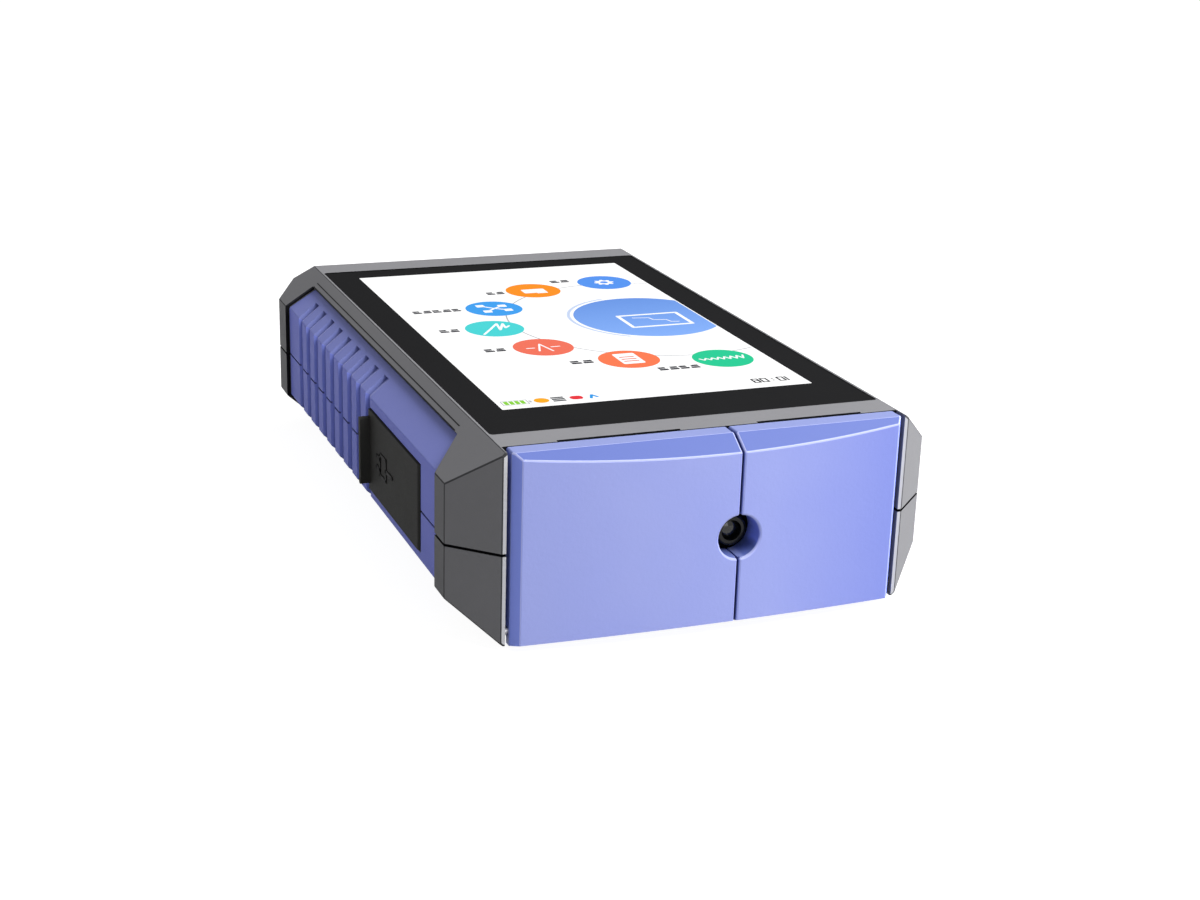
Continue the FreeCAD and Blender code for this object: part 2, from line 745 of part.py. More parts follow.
def make_wide_cover():
    """The cover over the optical ports."""
    ear = hinge_ear_half_width + hinge_end_play
    return make_cover(-far, cover_split_x - cover_split_gap / 2,
                      -cover_half_width + hinge_end_play, cover_split_x - ear)


def make_narrow_cover():
    """The cover over the network jack."""
    ear = hinge_ear_half_width + hinge_end_play
    return make_cover(cover_split_x + cover_split_gap / 2, far, cover_split_x + ear,
                      cover_half_width - hinge_end_play)


# ---------------------------------------------------------------- port end
def make_port_panel():
    """The wall that the ports look through, seated against the bay's lips."""
    slab = casing_form(casing_wall + panel_clearance)
    slab = slab.common(box(-far, far, post_depth, panel_back, -far, far))
    cuts = [rod(x, 0, port_z, (0, 1, 0), port_tail_radius + torch_slip, far)
            for x in port_positions.values()]
    cuts.append(rod(cover_split_x, 0, port_z, (0, 1, 0), torch_bezel_radius + torch_slip, far))
    half = jack_width / 2 + jack_panel_gap
    cuts.append(box(jack_x - half, jack_x + half, 0, far, board_top - jack_panel_gap,
                    board_top + jack_height + jack_panel_gap))
    return slab.cut(cuts)


def make_port(x):
    """A ferrule port: keyed barrel on a square flange, with a split-sleeve bore inside."""
    half = port_flange_size / 2
    flange_front = post_depth - port_flange_thickness
    body = rounded_box(x - half, x + half, flange_front, post_depth, port_z - half, port_z + half,
                       port_flange_corner_radius, (0, 1, 0))
    body = body.fuse([rod(x, port_barrel_front, port_z, (0, 1, 0), port_barrel_radius,
                          flange_front - port_barrel_front),
                      rod(x, post_depth, port_z, (0, 1, 0), port_tail_radius,
                          port_panel_thickness + port_tail_length)])
    well = tube(x, port_barrel_front, port_z, (0, 1, 0), port_barrel_bore, ferrule_sleeve_radius,
                post_depth - port_barrel_front)
    mouth = rod(x, port_barrel_front, port_z, (0, 1, 0), port_barrel_bore,
                ferrule_sleeve_front - port_barrel_front)
    bore = rod(x, ferrule_sleeve_front, port_z, (0, 1, 0), ferrule_radius, ferrule_bore_length)
    key = box(x - port_key_width / 2, x + port_key_width / 2, port_barrel_front - 1,
              port_barrel_front + port_key_depth, port_z, port_z + 2 * port_barrel_radius)
    return body.cut([well, mouth, bore, key])


def make_network_jack():
    """An eight-contact network jack that stands on the main board."""
    half = jack_width / 2
    body = box(jack_x - half, jack_x + half, jack_front, jack_front + jack_length, board_top,
               board_top + jack_height)
    mouth_z = board_top + jack_mouth_floor
    mouth = box(jack_x - jack_mouth_width / 2, jack_x + jack_mouth_width / 2, jack_front - 1,
                jack_front + jack_mouth_depth, mouth_z, mouth_z + jack_mouth_height)
    latch = box(jack_x - jack_latch_width / 2, jack_x + jack_latch_width / 2, jack_front - 1,
                jack_front + jack_mouth_depth, mouth_z, mouth_z + jack_mouth_height + jack_latch_height)
    return body.cut([mouth, latch])


def make_torch_bezel():
    """The torch's tube, which passes through the port panel."""
    length = panel_back + torch_tail - torch_front
    body = rod(cover_split_x, torch_front, port_z, (0, 1, 0), torch_bezel_radius, length)
    rim = [e for e in body.Edges if e.BoundBox.YMax < torch_front + 0.1]
    body = body.makeFillet(torch_rim_radius, rim)
    flange = rod(cover_split_x, post_depth - torch_flange_thickness, port_z, (0, 1, 0),
                 torch_flange_radius, torch_flange_thickness)
    bore = rod(cover_split_x, torch_front - 1, port_z, (0, 1, 0), torch_bezel_bore, length + 2)
    return body.fuse(flange).cut(bore)


def make_torch_lens():
    """The torch's lens, domed at the front."""
    front = torch_front + torch_lens_recess
    radius = torch_bezel_bore - torch_slip
    body = rod(cover_split_x, front, port_z, (0, 1, 0), radius, torch_lens_thickness)
    dome_radius = 2 * radius
    dome = Part.makeSphere(dome_radius, Vector(cover_split_x, front + dome_radius, port_z))
    return body.common(dome)


def make_torch_led():
    """The light-emitting diode behind the lens."""
    front = torch_front + torch_lens_recess + torch_lens_thickness + torch_led_gap
    radius = torch_bezel_bore - torch_slip
    dome = radius * torch_led_share
    body = rod(cover_split_x, front + dome, port_z, (0, 1, 0), dome, torch_led_length - dome)
    base = rod(cover_split_x, front + torch_led_length - 1, port_z, (0, 1, 0), radius, 1)
    return body.fuse([Part.makeSphere(dome, Vector(cover_split_x, front + dome, port_z)), base])


# ---------------------------------------------------------------- screen
def make_glass():
    """The touch glass, which covers the whole top face."""
    return rounded_box(-glass_half_width, glass_half_width, glass_front,
                       glass_front + glass_length, glass_bottom, glass_bottom + glass_thickness,
                       glass_corner_radius, (0, 0, 1))


def make_display():
    """The display module, bonded to the underside of the glass."""
    body = box(-display_half_width, display_half_width, display_front, display_back,
               glass_bottom - display_thickness, glass_bottom)
    under = [e for e in body.Edges if e.BoundBox.ZMax < glass_bottom - display_thickness + 0.1]
    return body.makeChamfer(display_chamfer, under)


# ---------------------------------------------------------------- data flap
def make_data_flap():
    """The rubber flap over the data sockets, with a pull lip and a rounded hinge bead."""
    bead = rod(-flap_hinge_x, flap_hinge_y, flap_low_z, (0, 0, 1), flap_hinge_radius, flap_height)
    leaf = box(-flap_face_x, -flap_face_x + flap_thickness, flap_hinge_y, flap_far,
               flap_low_z, flap_high_z)
    lip = rounded_box(-flap_reach, -flap_hinge_x, flap_far - flap_lip_thickness, flap_far,
                      flap_low_z + flap_lip_inset, flap_high_z - flap_lip_inset,
                      flap_lip_corner_radius, (1, 0, 0))
    bore = rod(-flap_hinge_x, flap_hinge_y, 0, (0, 0, 1), flap_pin_radius + pin_running_clearance, far)
    return bead.fuse([leaf, lip]).removeSplitter().cut(bore)


def make_socket(y, width, height, depth, tongue):
    """A metal data socket on the board's edge, with its contact tongue."""
    front = -flap_floor_x
    body = rounded_box(front, front + depth, y - width / 2, y + width / 2, board_top,
                       board_top + height, socket_wall, (1, 0, 0))
    mouth = box(front - 1, front + depth - 1, y - width / 2 + socket_wall, y + width / 2 - socket_wall,
                board_top + socket_wall, board_top + height - socket_wall)
    tongue_low = board_top + (height - tongue) / 2
    blade = box(front + 1, front + depth, y - width / 2 + 1, y + width / 2 - 1, tongue_low,
                tongue_low + tongue)
    return body.cut(mouth.cut(blade))


# ---------------------------------------------------------------- power button
def make_power_button():
    """The power button with the flange that keeps it in its slot."""
    cap = button_hole(0).common(box(0, button_face_x, -far, far, -far, far))
    face_rim = [e for e in cap.Edges if e.BoundBox.XMin > button_face_x - 0.1]
    cap = cap.makeFillet(button_edge_radius, face_rim)
    half_y = button_length / 2 + button_flange_rim
    half_z = button_height / 2 + button_flange_rim
    flange = box(button_inner_x, button_inner_x + button_flange_thickness, button_y - half_y,
                 button_y + half_y, button_z - half_z, button_z + half_z)
    return cap.fuse(flange).removeSplitter()


def make_power_switch():
    """The tactile switch that the power button works."""
    half = switch_body_size / 2
    body = box(switch_board_x, switch_body_x, button_y - half, button_y + half,
               button_z - half, button_z + half)
    plunger = rod(switch_body_x, button_y, button_z, (1, 0, 0), switch_plunger_radius,
                  switch_plunger_length)
    return body.fuse(plunger)


def make_switch_board():
    """The small board behind the power switch, against the shell's two ribs."""
    half = switch_board_length / 2
    return box(switch_board_x - switch_board_thickness, switch_board_x, button_y - half,
               button_y + half, button_z - switch_board_height / 2, button_z + switch_board_height / 2)


# ---------------------------------------------------------------- inside
def make_main_board():
    """The main circuit board, narrowed at the front to pass between the screw bosses."""
    board = box(-board_half_width, board_half_width, board_shoulder, board_back,
                board_bottom, board_top)
    board = board.fuse(box(-board_neck_half_width, board_neck_half_width, board_front,
                           board_shoulder, board_bottom, board_top))
    return board.removeSplitter().cut([rod(x, y, 0, (0, 0, 1), board_screw_radius, far)
                                       for x, y in board_screws])


def make_optical_engine():
    """The sealed laser and receiver module, with a stepped lid."""
    lid_z = engine_top - engine_lid_height
    body = rounded_box(-engine_left, engine_right, engine_front, engine_back, board_top, lid_z,
                       engine_corner_radius, (0, 0, 1))
    lid = rounded_box(engine_lid_inset - engine_left, engine_right - engine_lid_inset,
                      engine_front + engine_lid_inset, engine_back - engine_lid_inset, lid_z,
                      engine_top, engine_corner_radius, (0, 0, 1))
    return body.fuse(lid)


def make_fibre_spool():
    """The reel of reference fibre on top of the optical engine."""
    reel = rod(spool_x, spool_y, engine_top, (0, 0, 1), spool_radius, spool_height)
    hub = rod(spool_x, spool_y, engine_top - 1, (0, 0, 1), spool_core_radius, spool_height + 2)
    groove = tube(spool_x, spool_y, engine_top + spool_flange, (0, 0, 1), spool_radius + 1,
                  spool_wind_radius, spool_height - 2 * spool_flange)
    return reel.cut([hub, groove])


def make_shield_can():
    """The pressed screening can over the processor."""
    body = rounded_box(shield_left, shield_right, shield_front, shield_back, board_top,
                       board_top + shield_height, shield_corner_radius, (0, 0, 1))
    top = [e for e in body.Edges if e.BoundBox.ZMin > board_top + shield_height - 0.1]
    return body.makeFillet(shield_corner_radius / 2, top)


def make_battery():
    """The rechargeable battery pack on the shell's raised floor."""
    floor = stand_well_depth + stand_well_floor
    return rounded_box(-battery_half_width, battery_half_width, battery_front,
                       battery_back, floor, floor + battery_height,
                       battery_edge_radius, (0, 1, 0))


# ---------------------------------------------------------------- fasteners and underside
def make_shell_screws():
    """The four casing screws, each with a cross-cut head sunk in the underside."""
    screws = []
    for x, y in screw_places():
        under_head = screw_head_recess
        head = rod(x, y, under_head - screw_head_height, (0, 0, 1), screw_head_radius, screw_head_height)
        shank = rod(x, y, under_head, (0, 0, 1), screw_radius, screw_tip_z - under_head)
        slot_top = under_head - screw_head_height + screw_slot_depth
        long, thin = screw_slot_length / 2, screw_slot_width / 2
        slot = box(x - long, x + long, y - thin, y + thin, 0, slot_top)
        cross = box(x - thin, x + thin, y - long, y + long, 0, slot_top)
        screws.append(head.fuse(shank).cut([slot, cross]))
    return Part.makeCompound(screws)


def make_board_screws():
    """The four screws that hold the main board to its posts."""
    screws = []
    for x, y in board_screws:
        head = rod(x, y, board_top, (0, 0, 1), board_screw_head_radius, board_screw_head_height)
        rim = [e for e in head.Edges if e.BoundBox.ZMin > board_top + 0.1]
        head = head.makeFillet(board_screw_head_edge_radius, rim)
        shank = rod(x, y, board_top - board_screw_length, (0, 0, 1), board_screw_radius,
                    board_screw_length)
        screws.append(head.fuse(shank))
    return Part.makeCompound(screws)


def make_feet():
    """Four rubber feet let into the underside."""
    feet = []
    for x in (-foot_x, foot_x):
        for y in foot_rows:
            foot = rod(x, y, -foot_proud, (0, 0, 1), foot_radius - foot_slip, foot_proud + foot_seat)
            rim = [e for e in foot.Edges if e.BoundBox.ZMax < 0.1 - foot_proud]
            feet.append(foot.makeFillet(foot_edge_radius, rim))
    return Part.makeCompound(feet)


def make_stand():
    """The fold-out stand: a flat leaf with a round hinge edge and a sunk panel."""
    leaf_bottom = stand_hinge_z - stand_hinge_radius
    leaf = box(-stand_half_width, stand_half_width, stand_hinge_y, stand_free_end,
               leaf_bottom, leaf_bottom + stand_thickness)
    corners = [e for e in leaf.Edges if e.BoundBox.YMin > stand_free_end - 0.1
               and e.BoundBox.ZLength > stand_thickness / 2]
    leaf = leaf.makeFillet(stand_corner_radius, corners)
    bead = rod(-stand_half_width, stand_hinge_y, stand_hinge_z, (1, 0, 0), stand_hinge_radius,
               2 * stand_half_width)
    half = stand_half_width - stand_panel_margin
    panel = rounded_box(-half, half, stand_hinge_y + stand_panel_margin,
                        stand_free_end - stand_panel_margin, leaf_bottom - 1,
                        leaf_bottom + stand_panel_recess, stand_panel_corner_radius, (0, 0, 1))
    bore = rod(-far, stand_hinge_y, stand_hinge_z, (1, 0, 0),
               stand_pin_radius + pin_running_clearance, 2 * far)
    core_half = stand_half_width - stand_pin_reach - stand_pin_end_gap
    core = box(-core_half, core_half, -far, far, -far, far)
    return leaf.fuse(bead).removeSplitter().cut([panel, bore.cut(core)])


pieces = {
    "upper_shell": make_upper_shell(),
    "lower_shell": make_lower_shell(),
    "left_upper_grip": left_upper_grip,
    "left_lower_grip": left_lower_grip,
    "right_upper_grip": right_upper_grip,
    "right_lower_grip": right_lower_grip,
    "touch_glass": make_glass(),
    "display_module": make_display(),
    "port_panel": make_port_panel(),
    "network_jack": make_network_jack(),
    "torch_bezel": make_torch_bezel(),
    "torch_lens": make_torch_lens(),
    "torch_led": make_torch_led(),
    "wide_port_cover": make_wide_cover(),
    "narrow_port_cover": make_narrow_cover(),
    "cover_hinge_pin": cover_pin(),
    "data_flap": make_data_flap(),
    "data_flap_pin": flap_pin_hole(),
    "wide_data_socket": make_socket(wide_data_y, wide_data_width, wide_data_height,
                                    wide_data_depth, socket_tongue_height),
    "small_data_socket": make_socket(small_data_y, small_data_width, small_data_height,
                                     small_data_depth, small_data_tongue_height),
    "power_button": make_power_button(),
    "power_switch": make_power_switch(),
    "switch_board": make_switch_board(),
    "main_board": make_main_board(),
    "optical_engine": make_optical_engine(),
    "fibre_spool": make_fibre_spool(),
    "shield_can": make_shield_can(),
    "battery_pack": make_battery(),
    "shell_screws": make_shell_screws(),
    "board_screws": make_board_screws(),
    "rubber_feet": make_feet(),
    "stand": make_stand(),
    "stand_pins": Part.makeCompound([stand_pin(-1), stand_pin(1)]),
}
for port_name, port_x in port_positions.items():
    pieces[port_name] = make_port(port_x)

os.makedirs("parts", exist_ok=True)
for name, piece in pieces.items():
    piece.translate(frame_shift)
    piece.exportStep("parts/" + name + ".step")
    print(name, len(piece.Solids), round(piece.Volume, 1), piece.isValid())
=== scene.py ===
"""Looks of a palm-held fibre tester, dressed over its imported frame.

Each sub-assembly is a class with its own sizes in millimetres. New pieces are surfaces worked
out on a grid, and every finish is a small node material in object coordinates.
"""

import logging
import math
from abc import ABC, abstractmethod
from dataclasses import dataclass, field
from enum import Enum, IntEnum
from functools import cached_property
from typing import Any, ClassVar, Iterable, Sequence

import bmesh
import bpy
import numpy as np
from mathutils import Matrix, Vector


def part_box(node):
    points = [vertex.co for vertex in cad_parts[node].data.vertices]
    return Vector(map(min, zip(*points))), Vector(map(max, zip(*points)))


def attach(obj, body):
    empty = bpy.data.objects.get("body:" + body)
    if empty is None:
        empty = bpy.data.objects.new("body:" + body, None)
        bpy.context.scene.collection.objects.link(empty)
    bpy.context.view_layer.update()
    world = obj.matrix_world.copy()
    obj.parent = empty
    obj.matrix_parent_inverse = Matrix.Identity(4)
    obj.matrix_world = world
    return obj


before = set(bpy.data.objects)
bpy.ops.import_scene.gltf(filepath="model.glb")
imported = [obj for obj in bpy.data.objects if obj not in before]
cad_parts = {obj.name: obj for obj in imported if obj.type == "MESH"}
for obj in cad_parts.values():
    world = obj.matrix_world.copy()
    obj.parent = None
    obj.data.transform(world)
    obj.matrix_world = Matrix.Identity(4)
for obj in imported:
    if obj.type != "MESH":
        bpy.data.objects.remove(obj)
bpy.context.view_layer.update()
MM = 0.001
NODES: dict[str, bpy.types.Object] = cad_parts
log = logging.getLogger("fibre_tester")

Colour = tuple[float, float, float]
Points = np.ndarray
Socket = bpy.types.NodeSocket

BLACK: Colour = (0.0, 0.0, 0.0)
NOISE_SPAN = (0.3, 0.7)
# ambient occlusion range over which crevices take painted shade
CREVICE_SPAN = (0.4, 0.95)


# ------------------------------------------------------------------ colours and node benches
def srgb(code: str) -> Colour:
    """Turns a hex colour as it is seen into the linear colour that a shader takes.

    Args:
        code: Six hex digits, such as "8993e7".

    Returns:
        Linear red, green and blue.
    """
    seen = np.array([int(code[i:i + 2], 16) / 255 for i in (0, 2, 4)])
    linear = np.where(seen <= 0.04045, seen / 12.92, ((seen + 0.055) / 1.055) ** 2.4)
    return tuple(float(c) for c in linear)


def shade(colour: Colour, factor: float) -> Colour:
    """Gives a colour scaled by factor, with no part above 1."""
    return tuple(min(1.0, c * factor) for c in colour)


class Bench:
    """The node tree of a material or a world, and the helpers that lay and join its nodes."""

    def __init__(self, owner: bpy.types.Material | bpy.types.World, output: str = "OutputMaterial") -> None:
        """Clears the owner's node tree and lays its output node."""
        owner.use_nodes = True
        self.tree = owner.node_tree
        self.tree.nodes.clear()
        self.output = self.lay(output)

    @cached_property
    def coords(self) -> Any:
        """The outputs of the tree's one texture coordinate node."""
        return self.lay("TexCoord").outputs

    def lay(self, kind: str, inputs: dict[Any, Any] | None = None, **settings: Any) -> bpy.types.Node:
        """Lays a node.

        Args:
            kind: The node's type without the ShaderNode prefix.
            inputs: Values or sockets for its inputs, by name or number.
            **settings: Attributes of the node itself.

        Returns:
            The node.
        """
        node = self.tree.nodes.new("ShaderNode" + kind)
        for key, value in settings.items():
            setattr(node, key, value)
        for key, value in (inputs or {}).items():
            if isinstance(value, Socket):
                self.tree.links.new(value, node.inputs[key])
            else:
                node.inputs[key].default_value = value
        return node

    def join(self, shader: bpy.types.Node) -> None:
        """Joins a shader to the output."""
        self.tree.links.new(shader.outputs[0], self.output.inputs[0])

    def maths(self, operation: str, a: Any, b: Any = 0.0) -> Socket:
        """Lays a Math node and returns its result."""
        return self.lay("Math", {0: a, 1: b}, operation=operation).outputs[0]

    def times(self, a: Any, b: Any) -> Socket:
        """Gives a times b."""
        return self.maths("MULTIPLY", a, b)

    def split(self, vector: Socket) -> Sequence[Socket]:
        """Gives the three parts of a vector."""
        return self.lay("SeparateXYZ", {0: vector}).outputs

    def normal(self) -> Sequence[Socket]:
        """Gives the three parts of the surface's own direction."""
        return self.split(self.coords["Normal"])

    def stretched(self, scale: Sequence[float], turn: float = 0.0) -> Socket:
        """Gives the object's coordinates turned about Z and scaled on each axis, for long patterns."""
        return self.lay("Mapping", {"Vector": self.coords["Object"], "Scale": tuple(scale),
                                    "Rotation": (0.0, 0.0, turn)}).outputs[0]

    def noise(self, size_mm: float, detail: float = 2.0, rough: float = 0.5,
              vector: Socket | None = None) -> Socket:
        """Lays a noise pattern whose blotches are about size_mm across, and returns its factor."""
        where = self.coords["Object"] if vector is None else vector
        return self.lay("TexNoise", {"Vector": where, "Scale": 1 / (size_mm * MM), "Detail": detail,
                                     "Roughness": rough}).outputs["Fac"]

    def blend(self, factor: Any, a: Any, b: Any) -> Socket:
        """Mixes colour a towards colour b by factor and returns the result."""
        first, second = (colour + (1.0,) if isinstance(colour, tuple) else colour for colour in (a, b))
        return self.lay("Mix", {0: factor, 6: first, 7: second}, data_type="RGBA").outputs[2]

    def mottle(self, pattern: Socket, colour: Colour, low: float, high: float) -> Socket:
        """Lets a pattern scale a colour from low to high."""
        return self.blend(pattern, shade(colour, low), shade(colour, high))

    def between(self, value: Any, low: float, high: float, out_low: float = 0.0,
                out_high: float = 1.0) -> Socket:
        """Maps value from low..high to out_low..out_high, clamped, and returns the result."""
        node = self.lay("MapRange", {"Value": value, "From Min": low, "From Max": high,
                                     "To Min": out_low, "To Max": out_high}, clamp=True)
        return node.outputs[0]

    def roughen(self, pattern: Socket, middle: float, less: float, more: float) -> Socket:
        """Lets a noise pattern move a roughness from middle - less to middle + more."""
        return self.between(pattern, *NOISE_SPAN, middle - less, middle + more)

    def crevice(self, reach_mm: float, painted_shade: float) -> Socket:
        """Gives a painted-shade factor that falls from 1 in the open to 1 - painted_shade in seams narrower
        than reach_mm.
        """
        node = self.lay("AmbientOcclusion", {"Distance": reach_mm * MM}, samples=6)
        return self.between(node.outputs["AO"], *CREVICE_SPAN, 1 - painted_shade, 1.0)

    def off_flats(self, flats: Iterable[tuple[float, float, float]], turn_deg: float) -> Socket:
        """Gives 1 where the surface turns more than turn_deg away from every one of some flats.

        Args:
            flats: The flats' directions, with X taken on both sides.
            turn_deg: Angle at which a rounded edge begins.

        Returns:
            The factor, which rises over the next four degrees.
        """
        x, y, z = self.normal()
        mirrored = self.lay("CombineXYZ", {0: self.maths("ABSOLUTE", x), 1: y, 2: z}).outputs[0]
        nearest: Any = 0.0
        for flat in flats:
            unit = tuple(Vector(flat).normalized())
            dot = self.lay("VectorMath", {0: mirrored, 1: unit}, operation="DOT_PRODUCT").outputs["Value"]
            nearest = self.maths("MAXIMUM", nearest, dot)
        start, end = (math.cos(math.radians(angle)) for angle in (turn_deg, turn_deg + 4))
        return self.between(nearest, end, start, 1.0, 0.0)

    def bump(self, height: Any, depth_mm: float) -> Socket:
        """Lays a bump of depth_mm and returns the new normal."""
        return self.lay("Bump", {"Height": height, "Distance": depth_mm * MM, "Strength": 1.0}).outputs[0]

    def finish(self, colour: Any, roughness: Any, gloss: float = 0.5, **others: Any) -> None:
        """Lays the Principled shader and joins it to the output.

        Args:
            colour: Its base colour.
            roughness: Its roughness.
            gloss: Its specular level.
            **others: Further inputs, with underscores for the spaces in their names.
        """
        inputs = {"Base Color": colour, "Roughness": roughness, "Specular IOR Level": gloss}
        inputs |= {name.replace("_", " "): value for name, value in others.items()}
        self.join(self.lay("BsdfPrincipled", inputs))


# ------------------------------------------------------------------ finishes
class Finish(ABC):
    """A finish that can make its material."""

    def make(self, name: str) -> bpy.types.Material:
        """Makes the material under that name."""
        material = bpy.data.materials.new(name)
        self.mix(Bench(material))
        return material

    @abstractmethod
    def mix(self, bench: Bench) -> None:
        """Lays the finish's nodes on an empty bench."""


@dataclass(frozen=True)
class MouldedPlastic(Finish):
    """Spark-textured moulded plastic with a faint mottle."""

    colour: Colour
    roughness: float = 0.46
    grain_mm: float = 0.35
    grain_depth_mm: float = 0.012
    mottle: float = 0.05
    gloss: float = 0.5

    def mix(self, bench: Bench) -> None:
        """Lays the plastic: colour mottled by wide noise, roughness and bump by fine noise."""
        fine = bench.noise(self.grain_mm, 2.0, 0.6)
        colour = bench.mottle(bench.noise(14.0, 3.0), self.colour, 1 - self.mottle, 1 + self.mottle)
        bench.finish(colour, bench.roughen(fine, self.roughness, 0.05, 0.06), self.gloss,
                     Normal=bench.bump(fine, self.grain_depth_mm))


@dataclass(frozen=True)
class FacetPlastic(Finish):
    """Casing plastic with painted shade along its rounded edges and in its seams, and a painted highlight on
    the front faces of the posts.
    """

    colour: Colour
    # painted shade on rounded edges and on faces that look -Y behind the very front
    edge: Colour
    # painted highlight on the front faces of the posts
    front_highlight: Colour
    # painted shade in crevices and along the parting line
    seam_shade: Colour = (0.004, 0.004, 0.005)
    roughness: float = 0.44
    gloss: float = 0.012
    grain_mm: float = 0.32
    grain_depth_mm: float = 0.012
    edge_turn_deg: float = 5.0
    edge_share: float = 0.75
    front_mm: float = -74.65
    front_fade_mm: tuple[float, float] = (0.3, 0.6)
    seam_height_mm: float = 18.8
    seam_half_mm: float = 0.26
    flats: tuple[tuple[float, float, float], ...] = (
        (0, 0, 1), (0, 0, -1), (1, 0, 0), (0, 1, 0), (0, -1, 0), (7.5, 0, 8.8), (7.3, 0, -8.8),
        (0, 7.5, 7.8), (0, 7.3, -7.8), (8.1, -8.3, 0), (8.1, 8.8, 0))

    def mix(self, bench: Bench) -> None:
        """Lays the plastic.

        Edges are found by their direction, crevices by what surrounds them and the parting line by
        its height too, and all three take painted shade. What faces -Y takes a painted highlight at the
        very front and painted shade further back.
        """
        fine = bench.noise(self.grain_mm, 2.0, 0.6)
        body = bench.mottle(bench.noise(14.0, 3.0), self.colour, 0.97, 1.03)
        edges = bench.times(bench.off_flats(self.flats, self.edge_turn_deg), self.edge_share)
        # rounded edges blended towards the dark edge colour: painted shade
        edge_shaded = bench.blend(edges, body, self.edge)
        _, y, z = bench.split(bench.coords["Object"])
        # faces that look -Y: painted highlight at the very front, painted shade further back
        behind = bench.between(y, *((self.front_mm + depth) * MM for depth in self.front_fade_mm))
        front_light = bench.blend(behind, self.front_highlight, self.edge)
        facing = bench.between(bench.times(bench.normal()[1], -1.0), 0.99, 0.998)
        posts = bench.blend(facing, edge_shaded, front_light)
        # near-black band along the parting line and in crevices: painted shade
        off_seam = bench.maths("ABSOLUTE", bench.maths("SUBTRACT", z, self.seam_height_mm * MM))
        beside = bench.between(off_seam, self.seam_half_mm * 0.9 * MM, self.seam_half_mm * 1.2 * MM)
        colour = bench.blend(bench.times(bench.crevice(0.6, 0.92), beside), self.seam_shade, posts)
        bench.finish(colour, bench.roughen(fine, self.roughness, 0.05, 0.06), self.gloss,
                     Normal=bench.bump(fine, self.grain_depth_mm))


@dataclass(frozen=True)
class CoverPlastic(Finish):
    """Cover plastic: textured on the flats with a painted sheen there, deeper on the slopes, with a painted
    highlight on its edges and painted shade in its crevices.
    """

    colour: Colour
    slope: Colour
    # painted sheen mixed into the flats
    sheen_colour: Colour
    # painted highlight on rounded edges that face forward
    edge: Colour
    # painted shade in crevices
    seam_shade: Colour = (0.01, 0.012, 0.05)
    gloss: float = 0.25
    sheen_share: float = 0.32
    # share of the painted sheen on flats that look up
    top_share: float = 0.4
    # where the bowed face turns towards +X it keeps swept_share of its own colour and painted sheen, the
    # rest darkened by swept_shade: painted shade
    swept_share: float = 0.4
    swept_shade: float = 0.8
    # lightens the sides that look along X: painted light
    side_shade: float = 1.45
    grain_mm: float = 0.8
    grain_depth_mm: float = 0.03
    edge_turn_deg: float = 7.0
    edge_share: float = 0.45
    edge_flats: tuple[tuple[float, float, float], ...] = (
        (0, -1, 0), (0.14, -0.99, 0), (0.07, -1, 0), (0, -0.52, 0.854), (0, -0.27, -0.96), (1, 0, 0),
        (0.826, -0.564, 0), (0, 0, 1), (0, 0, -1), (0, 1, 0))

    def mix(self, bench: Bench) -> None:
        """Lays the plastic.

        Flats lie near -Y or +Z and take a painted sheen, slopes look up, and sides look along X and
        are lightened as painted light. The bowed face loses its painted sheen and takes painted shade
        as it sweeps round towards +X. Forward-facing rounded edges take a painted highlight and
        crevices painted shade.
        """
        x, y, z = bench.normal()
        ahead = bench.times(y, -1.0)
        top = bench.times(bench.between(z, 0.93, 0.97), self.top_share)
        flat = bench.maths("MAXIMUM", bench.between(ahead, 0.955, 0.985), top)
        # painted shade where the bowed face turns towards +X
        turn_shade = bench.between(x, 0.04, 0.14, 1.0, self.swept_share)
        face = bench.blend(turn_shade, shade(self.colour, self.swept_shade), self.colour)
        # sides that look along X are lightened: painted light
        sideways = bench.between(bench.maths("ABSOLUTE", x), 0.5, 0.75)
        sides = bench.blend(sideways, face, shade(self.colour, self.side_shade))
        deep = bench.blend(bench.between(z, 0.3, 0.6), sides, self.slope)
        cloud = bench.between(bench.noise(18.0), 0.2, 0.8, self.sheen_share * 0.9, self.sheen_share * 1.1)
        # painted sheen on the flats, clouded by wide noise
        body = bench.blend(bench.times(bench.times(flat, turn_shade), cloud), deep, self.sheen_colour)
        # rounded edges that face forward take a painted highlight
        forward = bench.between(ahead, 0.1, 0.2, 0.0, self.edge_share)
        edges = bench.times(bench.off_flats(self.edge_flats, self.edge_turn_deg), forward)
        # crevices darkened towards the dark colour: painted shade
        colour = bench.blend(bench.crevice(0.8, 0.8), self.seam_shade, bench.blend(edges, body, self.edge))
        grain = bench.times(bench.noise(self.grain_mm, 3.0, 0.65), flat)
        bench.finish(colour, bench.between(flat, 0.0, 1.0, 0.34, 0.5), self.gloss,
                     Normal=bench.bump(grain, self.grain_depth_mm))


